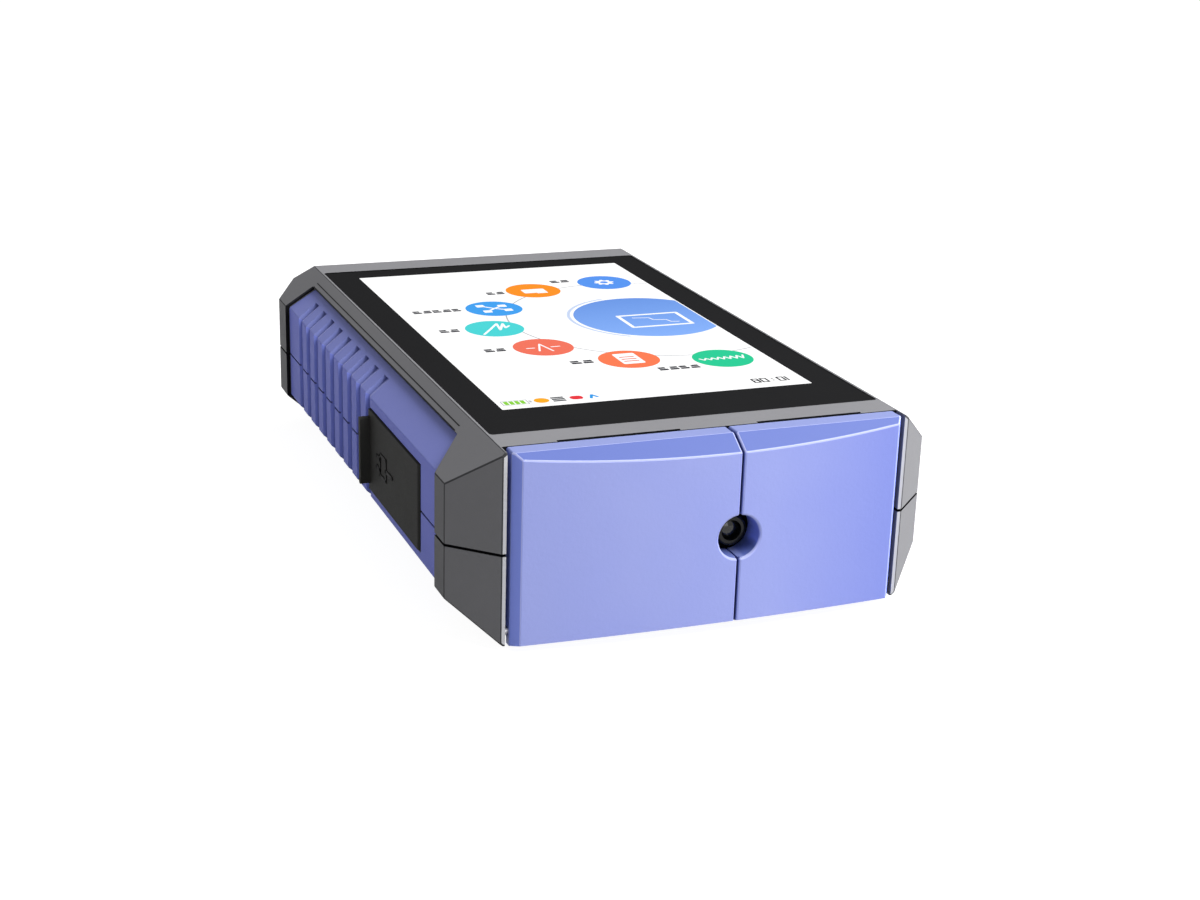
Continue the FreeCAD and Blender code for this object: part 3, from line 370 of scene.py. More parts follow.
@dataclass(frozen=True)
class SoftTouch(Finish):
    """Soft over-moulded grip: greyer where it looks up, with a painted sheen on the groove walls that face
    +Y, painted light on the steep walls that face -Y and painted shade in its crevices.
    """

    colour: Colour
    upward_grey: Colour
    # painted sheen on groove walls that face +Y
    groove_sheen: Colour
    # painted light on the steep walls that face -Y
    lit_wall: Colour
    # painted shade in crevices
    seam_shade: Colour = (0.006, 0.007, 0.03)
    roughness: float = 0.55
    gloss: float = 0.15
    upward_grey_share: float = 0.6
    groove_share: float = 0.8

    def mix(self, bench: Bench) -> None:
        """Lays the grip: faces are told apart by their direction, which picks their painted sheen, painted
        light and greyer tone, and fine pores roughen it all.
        """
        _, y, z = bench.normal()
        fine = bench.noise(0.28, 2.0, 0.6)
        base = bench.mottle(bench.noise(16.0), self.colour, 0.94, 1.06)
        # greyer where the grip looks up
        slope = bench.blend(bench.between(z, 0.3, 0.62, 0.0, self.upward_grey_share), base, self.upward_grey)
        # groove walls that face +Y take a painted sheen
        in_groove = bench.times(bench.between(y, 0.12, 0.2), bench.between(y, 0.4, 0.5, 1.0, 0.0))
        grooved = bench.blend(bench.times(in_groove, self.groove_share), slope, self.groove_sheen)
        # steep walls that face -Y take painted light, greyer where they look up
        lit_wall = bench.blend(bench.between(z, 0.15, 0.3), self.lit_wall, self.upward_grey)
        walled = bench.blend(bench.between(bench.times(y, -1.0), 0.6, 0.8), grooved, lit_wall)
        # crevices darkened towards the dark colour: painted shade
        colour = bench.blend(bench.crevice(0.7, 0.45), self.seam_shade, walled)
        bench.finish(colour, bench.roughen(fine, self.roughness, 0.05, 0.07), self.gloss,
                     Sheen_Weight=0.04, Sheen_Roughness=0.45, Normal=bench.bump(fine, 0.01))


@dataclass(frozen=True)
class DarkGlass(Finish):
    """Black-backed touch glass with a low sheen and faint wipe marks."""

    colour: Colour
    mark_mm: float = 50 / 3
    gloss: float = 0.0001

    def mix(self, bench: Bench) -> None:
        """Lays the glass: wipe marks are long noise that shifts the roughness and barely the tint."""
        marks = bench.noise(self.mark_mm, 4.0, vector=bench.stretched((1.0, 0.25, 1.0), 0.5))
        bench.finish(bench.mottle(marks, self.colour, 0.94, 1.06), bench.roughen(marks, 0.2, 0.04, 0.04),
                     self.gloss, IOR=1.5)


@dataclass(frozen=True)
class LitPicture(Finish):
    """A patch of the lit display: its own colour, most of it given out and the rest reflected."""

    colour: Colour
    lit: float = 0.75
    fade: Colour | None = None
    fade_mm: tuple[float, float] = (0.0, 1.0)
    dot_mm: float = 0.2
    dot_share: float = 0.05

    def mix(self, bench: Bench) -> None:
        """Lays the patch under a faint grid of dots, with its colour fading along Y if it has a fade."""
        x, y, _ = bench.split(bench.coords["Object"])
        waves = [bench.maths("SINE", bench.times(axis, 2 * math.pi / (self.dot_mm * MM))) for axis in (x, y)]
        body: Any = self.colour
        if self.fade is not None:
            body = bench.blend(bench.between(y, *(end * MM for end in self.fade_mm)), body, self.fade)
        shown = bench.blend(bench.between(bench.times(*waves), -1.0, 1.0, 0.0, self.dot_share), body, BLACK)
        bench.finish(bench.blend(1 - self.lit, BLACK, shown), 0.22, 0.002, Emission_Color=shown,
                     Emission_Strength=self.lit)


@dataclass(frozen=True)
class Metal(Finish):
    """Plated or bare metal, brushed or turned, with scuffs in its roughness."""

    colour: Colour
    roughness: float = 0.3
    brush_mm: float = 0.5
    brush_axis: int = 0
    scuff: float = 0.1

    def mix(self, bench: Bench) -> None:
        """Lays the metal: noise stretched along one axis gives the brush lines."""
        stretch = [1.0, 1.0, 1.0]
        stretch[self.brush_axis] = 0.04
        brush = bench.noise(self.brush_mm, 3.0, vector=bench.stretched(stretch))
        wide = bench.noise(3.0, 3.0)
        lines = bench.between(brush, 0.25, 0.75, self.roughness - 0.06, self.roughness + 0.08)
        rough = bench.maths("ADD", lines, bench.between(wide, 0.45, 0.8, 0.0, self.scuff))
        bench.finish(bench.mottle(wide, self.colour, 0.88, 1.05), rough, Metallic=1.0,
                     Normal=bench.bump(brush, 0.004))


@dataclass(frozen=True)
class Rubber(Finish):
    """Matt rubber with fine pores and a little dust."""

    colour: Colour
    roughness: float = 0.6
    gloss: float = 0.03

    def mix(self, bench: Bench) -> None:
        """Lays the rubber: dust is wide noise, pores are fine noise."""
        fine = bench.noise(0.22, 2.0, 0.7)
        dust = bench.between(bench.noise(6.0, 4.0), 0.4, 0.8)
        bench.finish(bench.mottle(dust, self.colour, 1.0, 1.18),
                     bench.roughen(fine, self.roughness, 0.06, 0.08), self.gloss,
                     Normal=bench.bump(fine, 0.015))


@dataclass(frozen=True)
class CircuitBoard(Finish):
    """Green solder mask over copper tracks and plated holes."""

    mask: Colour
    copper: Colour

    def mix(self, bench: Bench) -> None:
        """Lays the board: tracks are the joints of a brick pattern, and holes lie at scattered points."""
        place = bench.coords["Object"]
        tracks = bench.lay("TexBrick", {"Vector": place, "Scale": 180.0, "Mortar Size": 0.09,
                                        "Mortar Smooth": 0.1, "Brick Width": 0.9,
                                        "Row Height": 0.22}).outputs["Fac"]
        cells = bench.lay("TexVoronoi", {"Vector": place, "Scale": 260.0})
        holes = bench.between(cells.outputs["Distance"], 0.10, 0.14, 1.0, 0.0)
        colour = bench.blend(holes, bench.mottle(tracks, self.mask, 1.0, 1.7), self.copper)
        bench.finish(colour, bench.between(holes, 0.0, 1.0, 0.35, 0.25), Metallic=holes,
                     Normal=bench.bump(tracks, 0.02))


@dataclass(frozen=True)
class ClearPlastic(Finish):
    """Clear moulded lens or lamp plastic."""

    tint: Colour
    roughness: float = 0.05

    def mix(self, bench: Bench) -> None:
        """Lays the clear plastic, with flow marks in its roughness."""
        bench.finish(self.tint + (1.0,), bench.roughen(bench.noise(1.5), self.roughness, 0.0, 0.05),
                     IOR=1.49, Transmission_Weight=0.85)


@dataclass(frozen=True)
class Wrap(Finish):
    """Shrink wrap: glossy film with soft puckers."""

    colour: Colour

    def mix(self, bench: Bench) -> None:
        """Lays the film: long noise puckers it."""
        pucker = bench.noise(5.0, 3.0)
        bench.finish(bench.mottle(pucker, self.colour, 0.9, 1.1), 0.28, Normal=bench.bump(pucker, 0.15))


class Coat(Enum):
    """Every finish on the tester."""

    # casing: body colour, painted shade for edges and recesses, painted highlight for the post front faces
    CASING = FacetPlastic(srgb("79797c"), srgb("1c1c1e"), srgb("c6c6c8"))
    # grip: colour, greyer upward tone, painted sheen for +Y groove walls, painted light for -Y steep walls
    GRIP = SoftTouch(srgb("7680e2"), srgb("787fb0"), srgb("868ed0"), srgb("8e9af2"))
    # cover: colour, deeper slope colour, painted sheen for the flats, painted highlight for the edges
    COVER = CoverPlastic(srgb("7686e2"), srgb("5a69aa"), srgb("d2d6ea"), srgb("d8dcff"))
    GLASS = DarkGlass(srgb("1e1e1f"))
    DISPLAY_BACK = Metal(srgb("b8b8bc"), 0.42, 0.6, 0)
    PANEL = MouldedPlastic(srgb("242426"), 0.6, 0.3, 0.015, 0.08)
    JACK = MouldedPlastic(srgb("1b1b1d"), 0.38, 0.25, 0.008, 0.06)
    BLACK_METAL = Metal(srgb("2a2b2c"), 0.3, 0.2, 1, 0.15)
    BEZEL = MouldedPlastic(srgb("0c0d0d"), 0.14, 0.2, 0.003, 0.06, 0.22)
    # lens and lamp tinted near black as painted shade inside the torch; a real torch lens is clear and its
    # lamp pale
    LENS = ClearPlastic(srgb("1a1e20"), 0.03)
    LAMP = ClearPlastic(srgb("23221d"), 0.1)
    STEEL = Metal(srgb("c4c4c8"), 0.28, 0.3, 0)
    FLAP = Rubber(srgb("363635"), 0.62)
    FLAP_MARK = Rubber(srgb("060606"), 0.45)
    # near-black rubber for the painted shade lines along the grips
    SEAL = Rubber(srgb("17171a"), 0.6)
    BUTTON = Rubber(srgb("39393b"), 0.55)
    BUTTON_MARK = MouldedPlastic(srgb("d8d8da"), 0.5, 0.2, 0.004, 0.03)
    BOARD = CircuitBoard(srgb("1c5a34"), srgb("d9a860"))
    ENGINE = Metal(srgb("bfc0c4"), 0.45, 0.15, 2)
    SPOOL = MouldedPlastic(srgb("e4dfcb"), 0.5, 0.4, 0.01, 0.04)
    FIBRE = MouldedPlastic(srgb("e9d25a"), 0.35, 0.3, 0.004, 0.08)
    BATTERY = Wrap(srgb("3558a8"))
    FEET = Rubber(srgb("2a2a2b"), 0.7)
    NICKEL = Metal(srgb("cfcdc6"), 0.22, 0.25, 1)
    ZIRCONIA = MouldedPlastic(srgb("eeeee8"), 0.25, 0.3, 0.002, 0.02, 0.7)
    GOLD = Metal(srgb("e8c46a"), 0.24, 0.2, 1)

    def material(self) -> bpy.types.Material:
        """Gives this finish's material, made the first time that it is asked for."""
        name = "finish_" + self.name.lower()
        return bpy.data.materials.get(name) or self.value.make(name)


Coats = dict[Coat, tuple[str, ...]]


def dress(name: str, coat: Coat) -> None:
    """Gives a CAD node a finish."""
    mesh = NODES[name].data
    mesh.materials.clear()
    mesh.materials.append(coat.material())
    for polygon in mesh.polygons:
        polygon.material_index = 0
    log.info("dressed %s in %s", name, coat.name)


# ------------------------------------------------------------------ surfaces on grids
@dataclass
class Surface:
    """A closed surface: rings of points joined into quads, with one polygon over each end."""

    rings: Points

    def faces(self) -> list[tuple[int, ...]]:
        """Joins ring i, point j to its neighbours, and closes both ends with one polygon each."""
        count, size = self.rings.shape[:2]
        i, j = np.meshgrid(np.arange(count - 1), np.arange(size), indexing="ij")
        k = (j + 1) % size
        quads = np.stack([i * size + j, i * size + k, (i + 1) * size + k, (i + 1) * size + j], -1)
        ends = [tuple(range(size))[::-1], tuple((count - 1) * size + np.arange(size))]
        return [tuple(q) for q in quads.reshape(-1, 4).tolist()] + [tuple(int(n) for n in e) for e in ends]

    def points(self) -> Points:
        """Gives the points as one flat list."""
        return self.rings.reshape(-1, 3)


def mesh_piece(name: str, body: str, material: bpy.types.Material, surfaces: Sequence[Surface],
               smooth_deg: float = 40.0) -> None:
    """Makes one piece from closed surfaces given in millimetres of the row frame.

    Args:
        name: The piece's name.
        body: The CAD body that it rides on.
        material: Its material.
        surfaces: Its surfaces.
        smooth_deg: Edges sharper than this stay sharp.
    """
    points: list[Points] = []
    faces: list[tuple[int, ...]] = []
    start = 0
    for surface in surfaces:
        flat = surface.points()
        faces += [tuple(n + start for n in face) for face in surface.faces()]
        points.append(flat)
        start += len(flat)
    mesh = bpy.data.meshes.new(name)
    mesh.from_pydata((np.concatenate(points) * MM).tolist(), [], faces)
    mesh.validate()
    piece = bpy.data.objects.new(name, mesh)
    bpy.context.scene.collection.objects.link(piece)
    turn_outwards(piece)
    mesh.polygons.foreach_set("use_smooth", np.ones(len(mesh.polygons), bool))
    mesh.set_sharp_from_angle(angle=math.radians(smooth_deg))
    mesh.materials.append(material)
    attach(piece, body)
    log.info("made %s: %d faces on %s", name, len(mesh.polygons), body)


def turn_outwards(piece: bpy.types.Object) -> None:
    """Recalculates a closed mesh's normals so that its faces point outwards."""
    bm = bmesh.new()
    bm.from_mesh(piece.data)
    bmesh.ops.recalc_face_normals(bm, faces=bm.faces)
    bm.to_mesh(piece.data)
    bm.free()


class Plane(Enum):
    """Which way a flat print faces: u runs across it, v along it and w out of it."""

    TOP = ((1, 0, 0), (0, 1, 0), (0, 0, 1))
    LEFT = ((0, 1, 0), (0, 0, 1), (-1, 0, 0))
    RIGHT = ((0, 1, 0), (0, 0, 1), (1, 0, 0))

    def lift(self, flat: Points, height: float, origin: Points) -> Points:
        """Puts flat points (u, v) on the plane through origin, height above it.

        Args:
            flat: An N by 2 array, in millimetres.
            height: Distance out of the plane.
            origin: The plane's own origin in the row frame.

        Returns:
            An N by 3 array in the row frame.
        """
        u, v, w = (np.array(axis, float) for axis in self.value)
        return origin + flat[:, :1] * u + flat[:, 1:2] * v + height * w


@dataclass(frozen=True)
class Print:
    """A thin print on a face, stacked in steps so that no two layers share a plane."""

    plane: Plane
    origin: tuple[float, float, float]
    step_mm: float = 0.012
    sink_mm: float = 0.008

    def patch(self, outline: Points, layer: int = 1) -> Surface:
        """Makes a closed patch: one ring under the face and one ring above it.

        Args:
            outline: The patch's outline (u, v), in order, an N by 2 array.
            layer: How many steps its top stands above the face.

        Returns:
            The closed surface.
        """
        base = np.array(self.origin)
        low = self.plane.lift(outline, -self.sink_mm, base)
        high = self.plane.lift(outline, layer * self.step_mm, base)
        return Surface(np.stack([low, high]))

    def stroke(self, path: Sequence[tuple[float, float]], width: float, layer: int = 1,
               closed: bool = False) -> list[Surface]:
        """Makes a line of that width: one rectangle for each run, with a round cap at each point.

        They overlap in one plane, and lines that share a point each have a cap there.

        Args:
            path: The line's points (u, v).
            width: The line's width.
            layer: How many steps its top stands above the face.
            closed: True if the last point joins the first.

        Returns:
            The line's closed surfaces.
        """
        line = np.array(path, float)
        ends = np.roll(line, -1, axis=0) if closed else line[1:]
        starts = line if closed else line[:-1]
        surfaces = []
        for a, b in zip(starts, ends):
            along = (b - a) / np.linalg.norm(b - a)
            across = np.array([-along[1], along[0]]) * width / 2
            surfaces.append(self.patch(np.stack([a + across, b + across, b - across, a - across]), layer))
        surfaces += [self.patch(disc(p, width / 2, 12), layer) for p in line]
        return surfaces


def disc(centre: Sequence[float], radius: float, count: int = 96) -> Points:
    """Gives a circle's outline: centre plus radius times (cos t, sin t)."""
    t = np.linspace(0, 2 * math.pi, count, endpoint=False)
    return np.array(centre, float) + radius * np.stack([np.cos(t), np.sin(t)], 1)


def rounded(u0: float, u1: float, v0: float, v1: float, radius: float, arc: int = 6) -> Points:
    """Gives a rectangle's outline whose corners are quarter circles of that radius."""
    t = np.linspace(0, math.pi / 2, arc)
    corners = [((u1 - radius, v1 - radius), 0), ((u0 + radius, v1 - radius), 1),
               ((u0 + radius, v0 + radius), 2), ((u1 - radius, v0 + radius), 3)]
    return np.concatenate([np.array(c) + radius * np.stack([np.cos(t + k * math.pi / 2),
                                                            np.sin(t + k * math.pi / 2)], 1)
                           for c, k in corners])


def arc_line(centre: Sequence[float], radius: float, start_deg: float, end_deg: float,
             count: int = 24) -> list[tuple[float, float]]:
    """Gives the points of a circular arc from start_deg to end_deg."""
    t = np.radians(np.linspace(start_deg, end_deg, count))
    points = np.array(centre, float) + radius * np.stack([np.cos(t), np.sin(t)], 1)
    return [tuple(p) for p in points.tolist()]


def lathe(profile: Sequence[tuple[float, float]], centre: Points, count: int = 64) -> Surface:
    """Turns a profile about an axis along Y: (r cos t, y, r sin t) round the centre.

    Args:
        profile: Points (y, r) along the solid's outline.
        centre: The axis, as a point in the row frame.
        count: Points round the axis.

    Returns:
        The surface, with a disc over each end. A profile that returns to its start makes a ring
        whose two end discs both lie across its bore.
    """
    t = np.linspace(0, 2 * math.pi, count, endpoint=False)
    shape = np.array(profile, float)
    rings = np.stack([np.stack([r * np.cos(t), np.full(count, y), r * np.sin(t)], 1) for y, r in shape])
    return Surface(rings + np.array(centre, float))


def sweep(path: Points, section: Points, up: Sequence[float] = (0.0, 0.0, 1.0)) -> Surface:
    """Carries a flat section along a path: point p plus a times the side vector plus b times up.

    Args:
        path: N by 3 points in the row frame.
        section: M by 2 offsets (a, b), in order round the section.
        up: The direction that b runs along.

    Returns:
        The closed surface.
    """
    along = np.gradient(path, axis=0)
    along /= np.linalg.norm(along, axis=1, keepdims=True)
    side = np.cross(along, np.array(up, float))
    side /= np.linalg.norm(side, axis=1, keepdims=True)
    lift = np.cross(side, along)
    across = section[None, :, :1] * side[:, None, :]
    return Surface(path[:, None, :] + across + section[None, :, 1:] * lift[:, None, :])


def bar_section(half_width: float, low: float, high: float) -> Points:
    """Gives a rectangular section for a sweep, from low to high along its up direction."""
    return np.array([[-half_width, low], [half_width, low], [half_width, high], [-half_width, high]])


def mm_box(node: str) -> tuple[Points, Points]:
    """Gives a node's lowest and highest corners in millimetres of the row frame."""
    low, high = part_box(node)
    return np.array(low) / MM, np.array(high) / MM


SEGMENTS = {"a": ((0, 1), (1, 1)), "b": ((1, 1), (1, 0.5)), "c": ((1, 0.5), (1, 0)), "d": ((0, 0), (1, 0)),
            "e": ((0, 0.5), (0, 0)), "f": ((0, 1), (0, 0.5)), "g": ((0, 0.5), (1, 0.5))}
DIGITS = {"0": "abcdef", "1": "bc", "8": "abcdefg"}


def digit_strokes(text: str, at: tuple[float, float], size: tuple[float, float], pitch: float,
                  way: tuple[float, float] = (1.0, 1.0)) -> list[list[tuple[float, float]]]:
    """Lays out plain figures as straight strokes.

    Args:
        text: Figures, with ":" for the clock's two dots.
        at: Lower left corner of the first figure, as it is read.
        size: Width and height of a figure.
        pitch: Step from one figure to the next.
        way: Signs of the reading directions on the face.

    Returns:
        One path for each stroke.
    """
    paths = []
    for place, mark in enumerate(text):
        left = place * pitch
        if mark == ":":
            runs = [((0.45, 0.3), (0.55, 0.3)), ((0.45, 0.7), (0.55, 0.7))]
        else:
            runs = [SEGMENTS[s] for s in DIGITS[mark]]
        for run in runs:
            paths.append([(at[0] + way[0] * (left + x * size[0]), at[1] + way[1] * y * size[1])
                          for x, y in run])
    return paths


# ------------------------------------------------------------------ the sub-assemblies
class SubAssembly:
    """A sub-assembly: which coats its CAD nodes wear, and the new pieces that it adds."""

    coats: ClassVar[Coats] = {}

    def build(self) -> None:
        """Dresses the nodes and adds the new pieces."""
        for coat, names in self.coats.items():
            for name in names:
                dress(name, coat)
        self.add()

    def add(self) -> None:
        """Adds the new pieces, where there are any."""


@dataclass
class Casing(SubAssembly):
    """The two grey shells, the four grips let into their sides and fine dark lines along the grips, painted
    shade where the grips' recess edges fall in shadow.
    """

    coats: ClassVar[Coats] = {
        Coat.CASING: ("upper_shell", "lower_shell"),
        Coat.GRIP: ("left_upper_grip", "left_lower_grip", "right_upper_grip", "right_lower_grip")}
    bevel_run: float = 8.8
    bevel_drop: float = 7.5
    shade_line_drops: tuple[float, ...] = (2.3, 1.55)
    shade_line_half_width: float = 0.12
    shade_line_sink: float = 0.06
    shade_line_rise: float = 0.012
    shade_line_ends: tuple[float, float] = (21.5, 18.9)

    def add(self) -> None:
        """Lays two fine dark lines along each upper bevel, parallel to the grip's upper edge, as painted
        shade.

        A line lies at a drop d below the top face, where the bevel has run d times its slope out.
        """
        low, high = mm_box("upper_shell")
        middle = (low[0] + high[0]) / 2
        edge = (high[0] - low[0]) / 2 - self.bevel_run
        y = np.linspace(low[1] + self.shade_line_ends[0], high[1] - self.shade_line_ends[1], 12)
        outward = np.array([self.bevel_drop, self.bevel_run]) / math.hypot(self.bevel_drop, self.bevel_run)
        section = bar_section(self.shade_line_half_width, -self.shade_line_sink, self.shade_line_rise)
        lines = []
        for side in (-1, 1):
            for drop in self.shade_line_drops:
                x = middle + side * (edge + drop * self.bevel_run / self.bevel_drop)
                path = np.stack([np.full_like(y, x), y, np.full_like(y, high[2] - drop)], 1)
                lines.append(sweep(path, section, (side * outward[0], 0.0, outward[1])))
        # the lines are painted shade along the grips' recess edges
        mesh_piece("grip_seals", "casing", Coat.SEAL.material(), lines)


class Layer(IntEnum):
    """How many steps each layer of the picture stands above the glass."""

    GROUND = 1
    LINE = 2
    DISC = 3
    SYMBOL = 4
    DETAIL = 5


@dataclass(frozen=True)
class MenuDisc:
    """One round menu patch: its middle on the glass, its colour, and its caption's start, end and row."""

    name: str
    middle: tuple[float, float]
    colour: str
    caption: tuple[float, float, float]


@dataclass
class Screen(SubAssembly):
    """The touch glass and the picture on its lit display, in millimetres from the glass's port edge."""

    coats: ClassVar[Coats] = {Coat.GLASS: ("touch_glass",), Coat.DISPLAY_BACK: ("display_module",)}
    half_width: float = 32.4
    near: float = 13.9
    far: float = 121.0
    disc_radius: float = 6.4
    ring_centre: tuple[float, float] = (20.2, 70.3)
    ring_radius: float = 31.3
    hub_centre: tuple[float, float] = (20.4, 70.6)
    hub_radius: float = 16.5
    halo_gap: float = 1.1
    caption_row: float = 1.2
    caption_cell: float = 2.3
    caption_gap: float = 0.2
    caption_trims: tuple[float, float] = (0.0, 0.35)
    status_line: float = 17.5
    figure: tuple[float, float] = (1.2, 2.3)
    figure_pitch: float = 1.85
    discs: tuple[MenuDisc, ...] = (
        MenuDisc("settings", (22.5, 102.6), "4f8ee8", (10.0, 14.9, 106.3)),
        MenuDisc("folder", (3.5, 99.3), "ff8c14", (-8.1, -3.6, 99.2)),
        MenuDisc("links", (-10.5, 85.8), "3a9ae8", (-29.2, -17.9, 86.8)),
        MenuDisc("levels", (-15.7, 69.5), "45cfd0", (-28.0, -23.4, 70.2)),
        MenuDisc("pulse", (-10.5, 52.8), "ea6f58", (-23.4, -18.6, 53.3)),
        MenuDisc("sheet", (3.5, 39.6), "f2774e", (-9.2, -4.1, 40.3)),
        MenuDisc("chart", (22.6, 35.1), "22c48f", (6.4, 15.7, 31.3)),
    )
    gear_middle: tuple[float, float] = (22.5, 102.7)
    printer: Print = field(init=False)

    def __post_init__(self) -> None:
        """Sets the print's origin on the glass, at the middle of its port edge."""
        low, high = mm_box("touch_glass")
        self.printer = Print(Plane.TOP, ((low[0] + high[0]) / 2, low[1], high[2]))

    def show(self, name: str, paint: str | LitPicture, surfaces: Sequence[Surface]) -> None:
        """Makes one piece of the picture, in a display colour or a lit finish of its own."""
        finish = LitPicture(srgb(paint)) if isinstance(paint, str) else paint
        mesh_piece("screen_" + name, "casing", finish.make("display_" + name), surfaces)

    def block(self, u: tuple[float, float], v: tuple[float, float], radius: float, layer: Layer,
              arc: int = 6) -> Surface:
        """Gives a patch with rounded corners, from u[0] to u[1] across and from v[0] to v[1] along."""
        return self.printer.patch(rounded(*u, *v, radius, arc), layer)

    def add(self) -> None:
        """Lays the ground, rings, hub, discs, symbols, captions and status row."""
        self.show("ground", "ffffff", [self.block((-self.half_width, self.half_width), (self.near, self.far),
                                                  0.2, Layer.GROUND, 3)])
        self.rings()
        self.hub()
        for item in self.discs:
            self.show("disc_" + item.name, item.colour,
                      [self.printer.patch(disc(item.middle, self.disc_radius), Layer.DISC)])
        self.show("symbols", "fbfcff", self.symbols())
        rules = [self.printer.stroke([(2.1, y), (5.0, y)], 0.5, Layer.DETAIL) for y in (38.2, 39.7, 41.2)]
        self.show("symbol_lines", "e4704e", sum(rules, []))
        self.show("gear_hub", "4f8ee8", [self.printer.patch(disc(self.gear_middle, 0.95, 32), Layer.DETAIL)])
        self.show("captions", "303038", self.captions())
        self.status_row()

    def rings(self) -> None:
        """Makes the thin arc behind the discs and the paler arc beside the hub."""
        arc = arc_line(self.ring_centre, self.ring_radius, 68, 292, 96)
        self.show("ring", "b4b6bb", self.printer.stroke(arc, 0.34, Layer.LINE))
        halo = arc_line(self.hub_centre, self.hub_radius + self.halo_gap, 105, 235, 48)
        self.show("halo", "d3e0f8", self.printer.stroke(halo, 0.75, Layer.LINE))

    def hub(self) -> None:
        """Makes the large disc, cut off by the display's edge and fading along Y, with its symbol."""
        round_edge = disc(self.hub_centre, self.hub_radius, 160)
        kept = round_edge[round_edge[:, 0] < self.half_width - 0.05]
        angle = np.arctan2(kept[:, 1] - self.hub_centre[1], kept[:, 0] - self.hub_centre[0])
        outline = kept[np.argsort(np.mod(angle, 2 * math.pi))]
        near = self.printer.origin[1] + self.hub_centre[1] - self.hub_radius
        paint = LitPicture(srgb("80aaf0"), fade=srgb("6490dc"), fade_mm=(near, near + 2 * self.hub_radius))
        self.show("hub", paint, [self.printer.patch(outline, Layer.DISC)])
        frame_line = [(13.9, 72.3), (27.9, 72.3), (27.9, 62.6), (13.9, 62.6)]
        trace = [(25.6, 64.9), (23.9, 65.2), (23.4, 67.0), (20.6, 67.6), (20.2, 69.4), (16.6, 70.1)]
        self.show("hub_symbol", "fafcff", self.printer.stroke(frame_line, 0.85, Layer.SYMBOL, True)
                  + self.printer.stroke(trace, 0.3, Layer.SYMBOL))

    def symbols(self) -> list[Surface]:
        """Gives the white symbols on the small discs, each drawn in plain shapes.

        The gear's radius is a mean plus a wave of eight teeth, squared off by tanh.
        """
        ink = self.printer
        turn = np.linspace(0, 2 * math.pi, 128, endpoint=False)
        cog = 2.1 + 0.3 * np.tanh(3 * np.cos(8 * turn))
        gear = np.array(self.gear_middle) + cog[:, None] * np.stack([np.cos(turn), np.sin(turn)], 1)
        folder = [((0.8, 6.3), (97.2, 100.6), 0.4), ((3.7, 6.3), (96.6, 98.0), 0.3)]
        sheet = ((1.2, 6.0), (36.3, 43.8), 0.5)
        shapes = [ink.patch(gear, Layer.SYMBOL)]
        shapes += [self.block(*sizes, Layer.SYMBOL) for sizes in (*folder, sheet)]
        for x, y in ((-12.9, 88.6), (-12.6, 83.7), (-8.0, 87.7), (-7.7, 84.0)):
            shapes.append(self.block((x - 0.95, x + 0.95), (y - 0.95, y + 0.95), 0.2, Layer.SYMBOL, 3))
            shapes += ink.stroke([(x, y), (-10.4, 85.9)], 0.55, Layer.SYMBOL)
        levels = [(-19.3, 65.5), (-16.8, 69.1), (-14.1, 73.2), (-14.8, 68.2), (-12.8, 72.9), (-13.2, 69.5),
                  (-12.0, 70.9)]
        pulse = ([(-14.2, 52.6), (-12.6, 52.6)], [(-12.2, 50.2), (-10.6, 55.2), (-9.4, 49.6)],
                 [(-8.8, 52.6), (-7.0, 52.6)])
        wave = np.linspace(17.6, 27.6, 15)
        rise = 35.2 + np.array([0.9, -0.9])[np.arange(15) % 2] * np.linspace(0.6, 1.2, 15)
        chart = list(zip(wave.tolist(), rise.tolist()))
        for path, width in ((levels, 0.55), *((run, 0.4) for run in pulse), (chart, 0.42)):
            shapes += ink.stroke(path, width, Layer.SYMBOL)
        return shapes

    def captions(self) -> list[Surface]:
        """Gives a plain row of stacked bars beside each disc, where a caption stands."""
        bars = []
        for item in self.discs:
            start, end, v = item.caption
            count = round((end - start) / self.caption_cell)
            step = (end - start) / count
            for k in range(count):
                u = start + k * step
                for row, trim in enumerate(self.caption_trims):
                    low = v + (row - 1) * self.caption_row
                    across = (u + self.caption_gap + trim * (k % 2),
                              u + step - self.caption_gap - trim * ((k + 1) % 2))
                    bars.append(self.block(across, (low, low + 0.8 * self.caption_row), 0.1, Layer.LINE, 3))
        return bars

    def status_row(self) -> None:
        """Makes the status marks and the clock's plain figures along the port edge."""
        ink, y = self.printer, self.status_line
        case = [(-31.3, y - 1.3), (-26.2, y - 1.3), (-26.2, y + 1.3), (-31.3, y + 1.3)]
        tip = self.block((-25.9, -25.4), (y - 0.6, y + 0.6), 0.1, Layer.LINE, 3)
        cells = [self.block((u, u + 0.85), (y - 1.0, y + 1.0), 0.1, Layer.LINE, 3)
                 for u in (-30.9, -29.8, -28.7, -27.6)]
        rows = [self.block((-21.3, -18.7), (y + v - 0.36, y + v + 0.36), 0.1, Layer.LINE, 3)
                for v in (-1.0, 0.0, 1.0)]
        link = [(-13.6, y - 1.0), (-12.9, y + 0.9), (-12.2, y - 0.5)]
        clock = digit_strokes("10:08", (30.2, y + 2.0), self.figure, self.figure_pitch, (-1.0, -1.0))
        self.show("battery_case", "b9bcc0", ink.stroke(case, 0.25, Layer.LINE, True) + [tip])
        self.show("battery_level", "86cc3c", cells)
        self.show("status_lamp", "f3a71f", [ink.patch(disc((-23.4, y), 1.5, 40), Layer.LINE)])
        self.show("status_list", "4c4f53", rows)
        self.show("status_card", "e0303a", [self.block((-17.6, -15.0), (y - 1.1, y + 1.1), 0.9, Layer.LINE)])
        self.show("status_link", "2f9be6", ink.stroke(link, 0.6, Layer.LINE))
        self.show("clock", "26272c", [s for path in clock for s in ink.stroke(path, 0.4, Layer.LINE)])


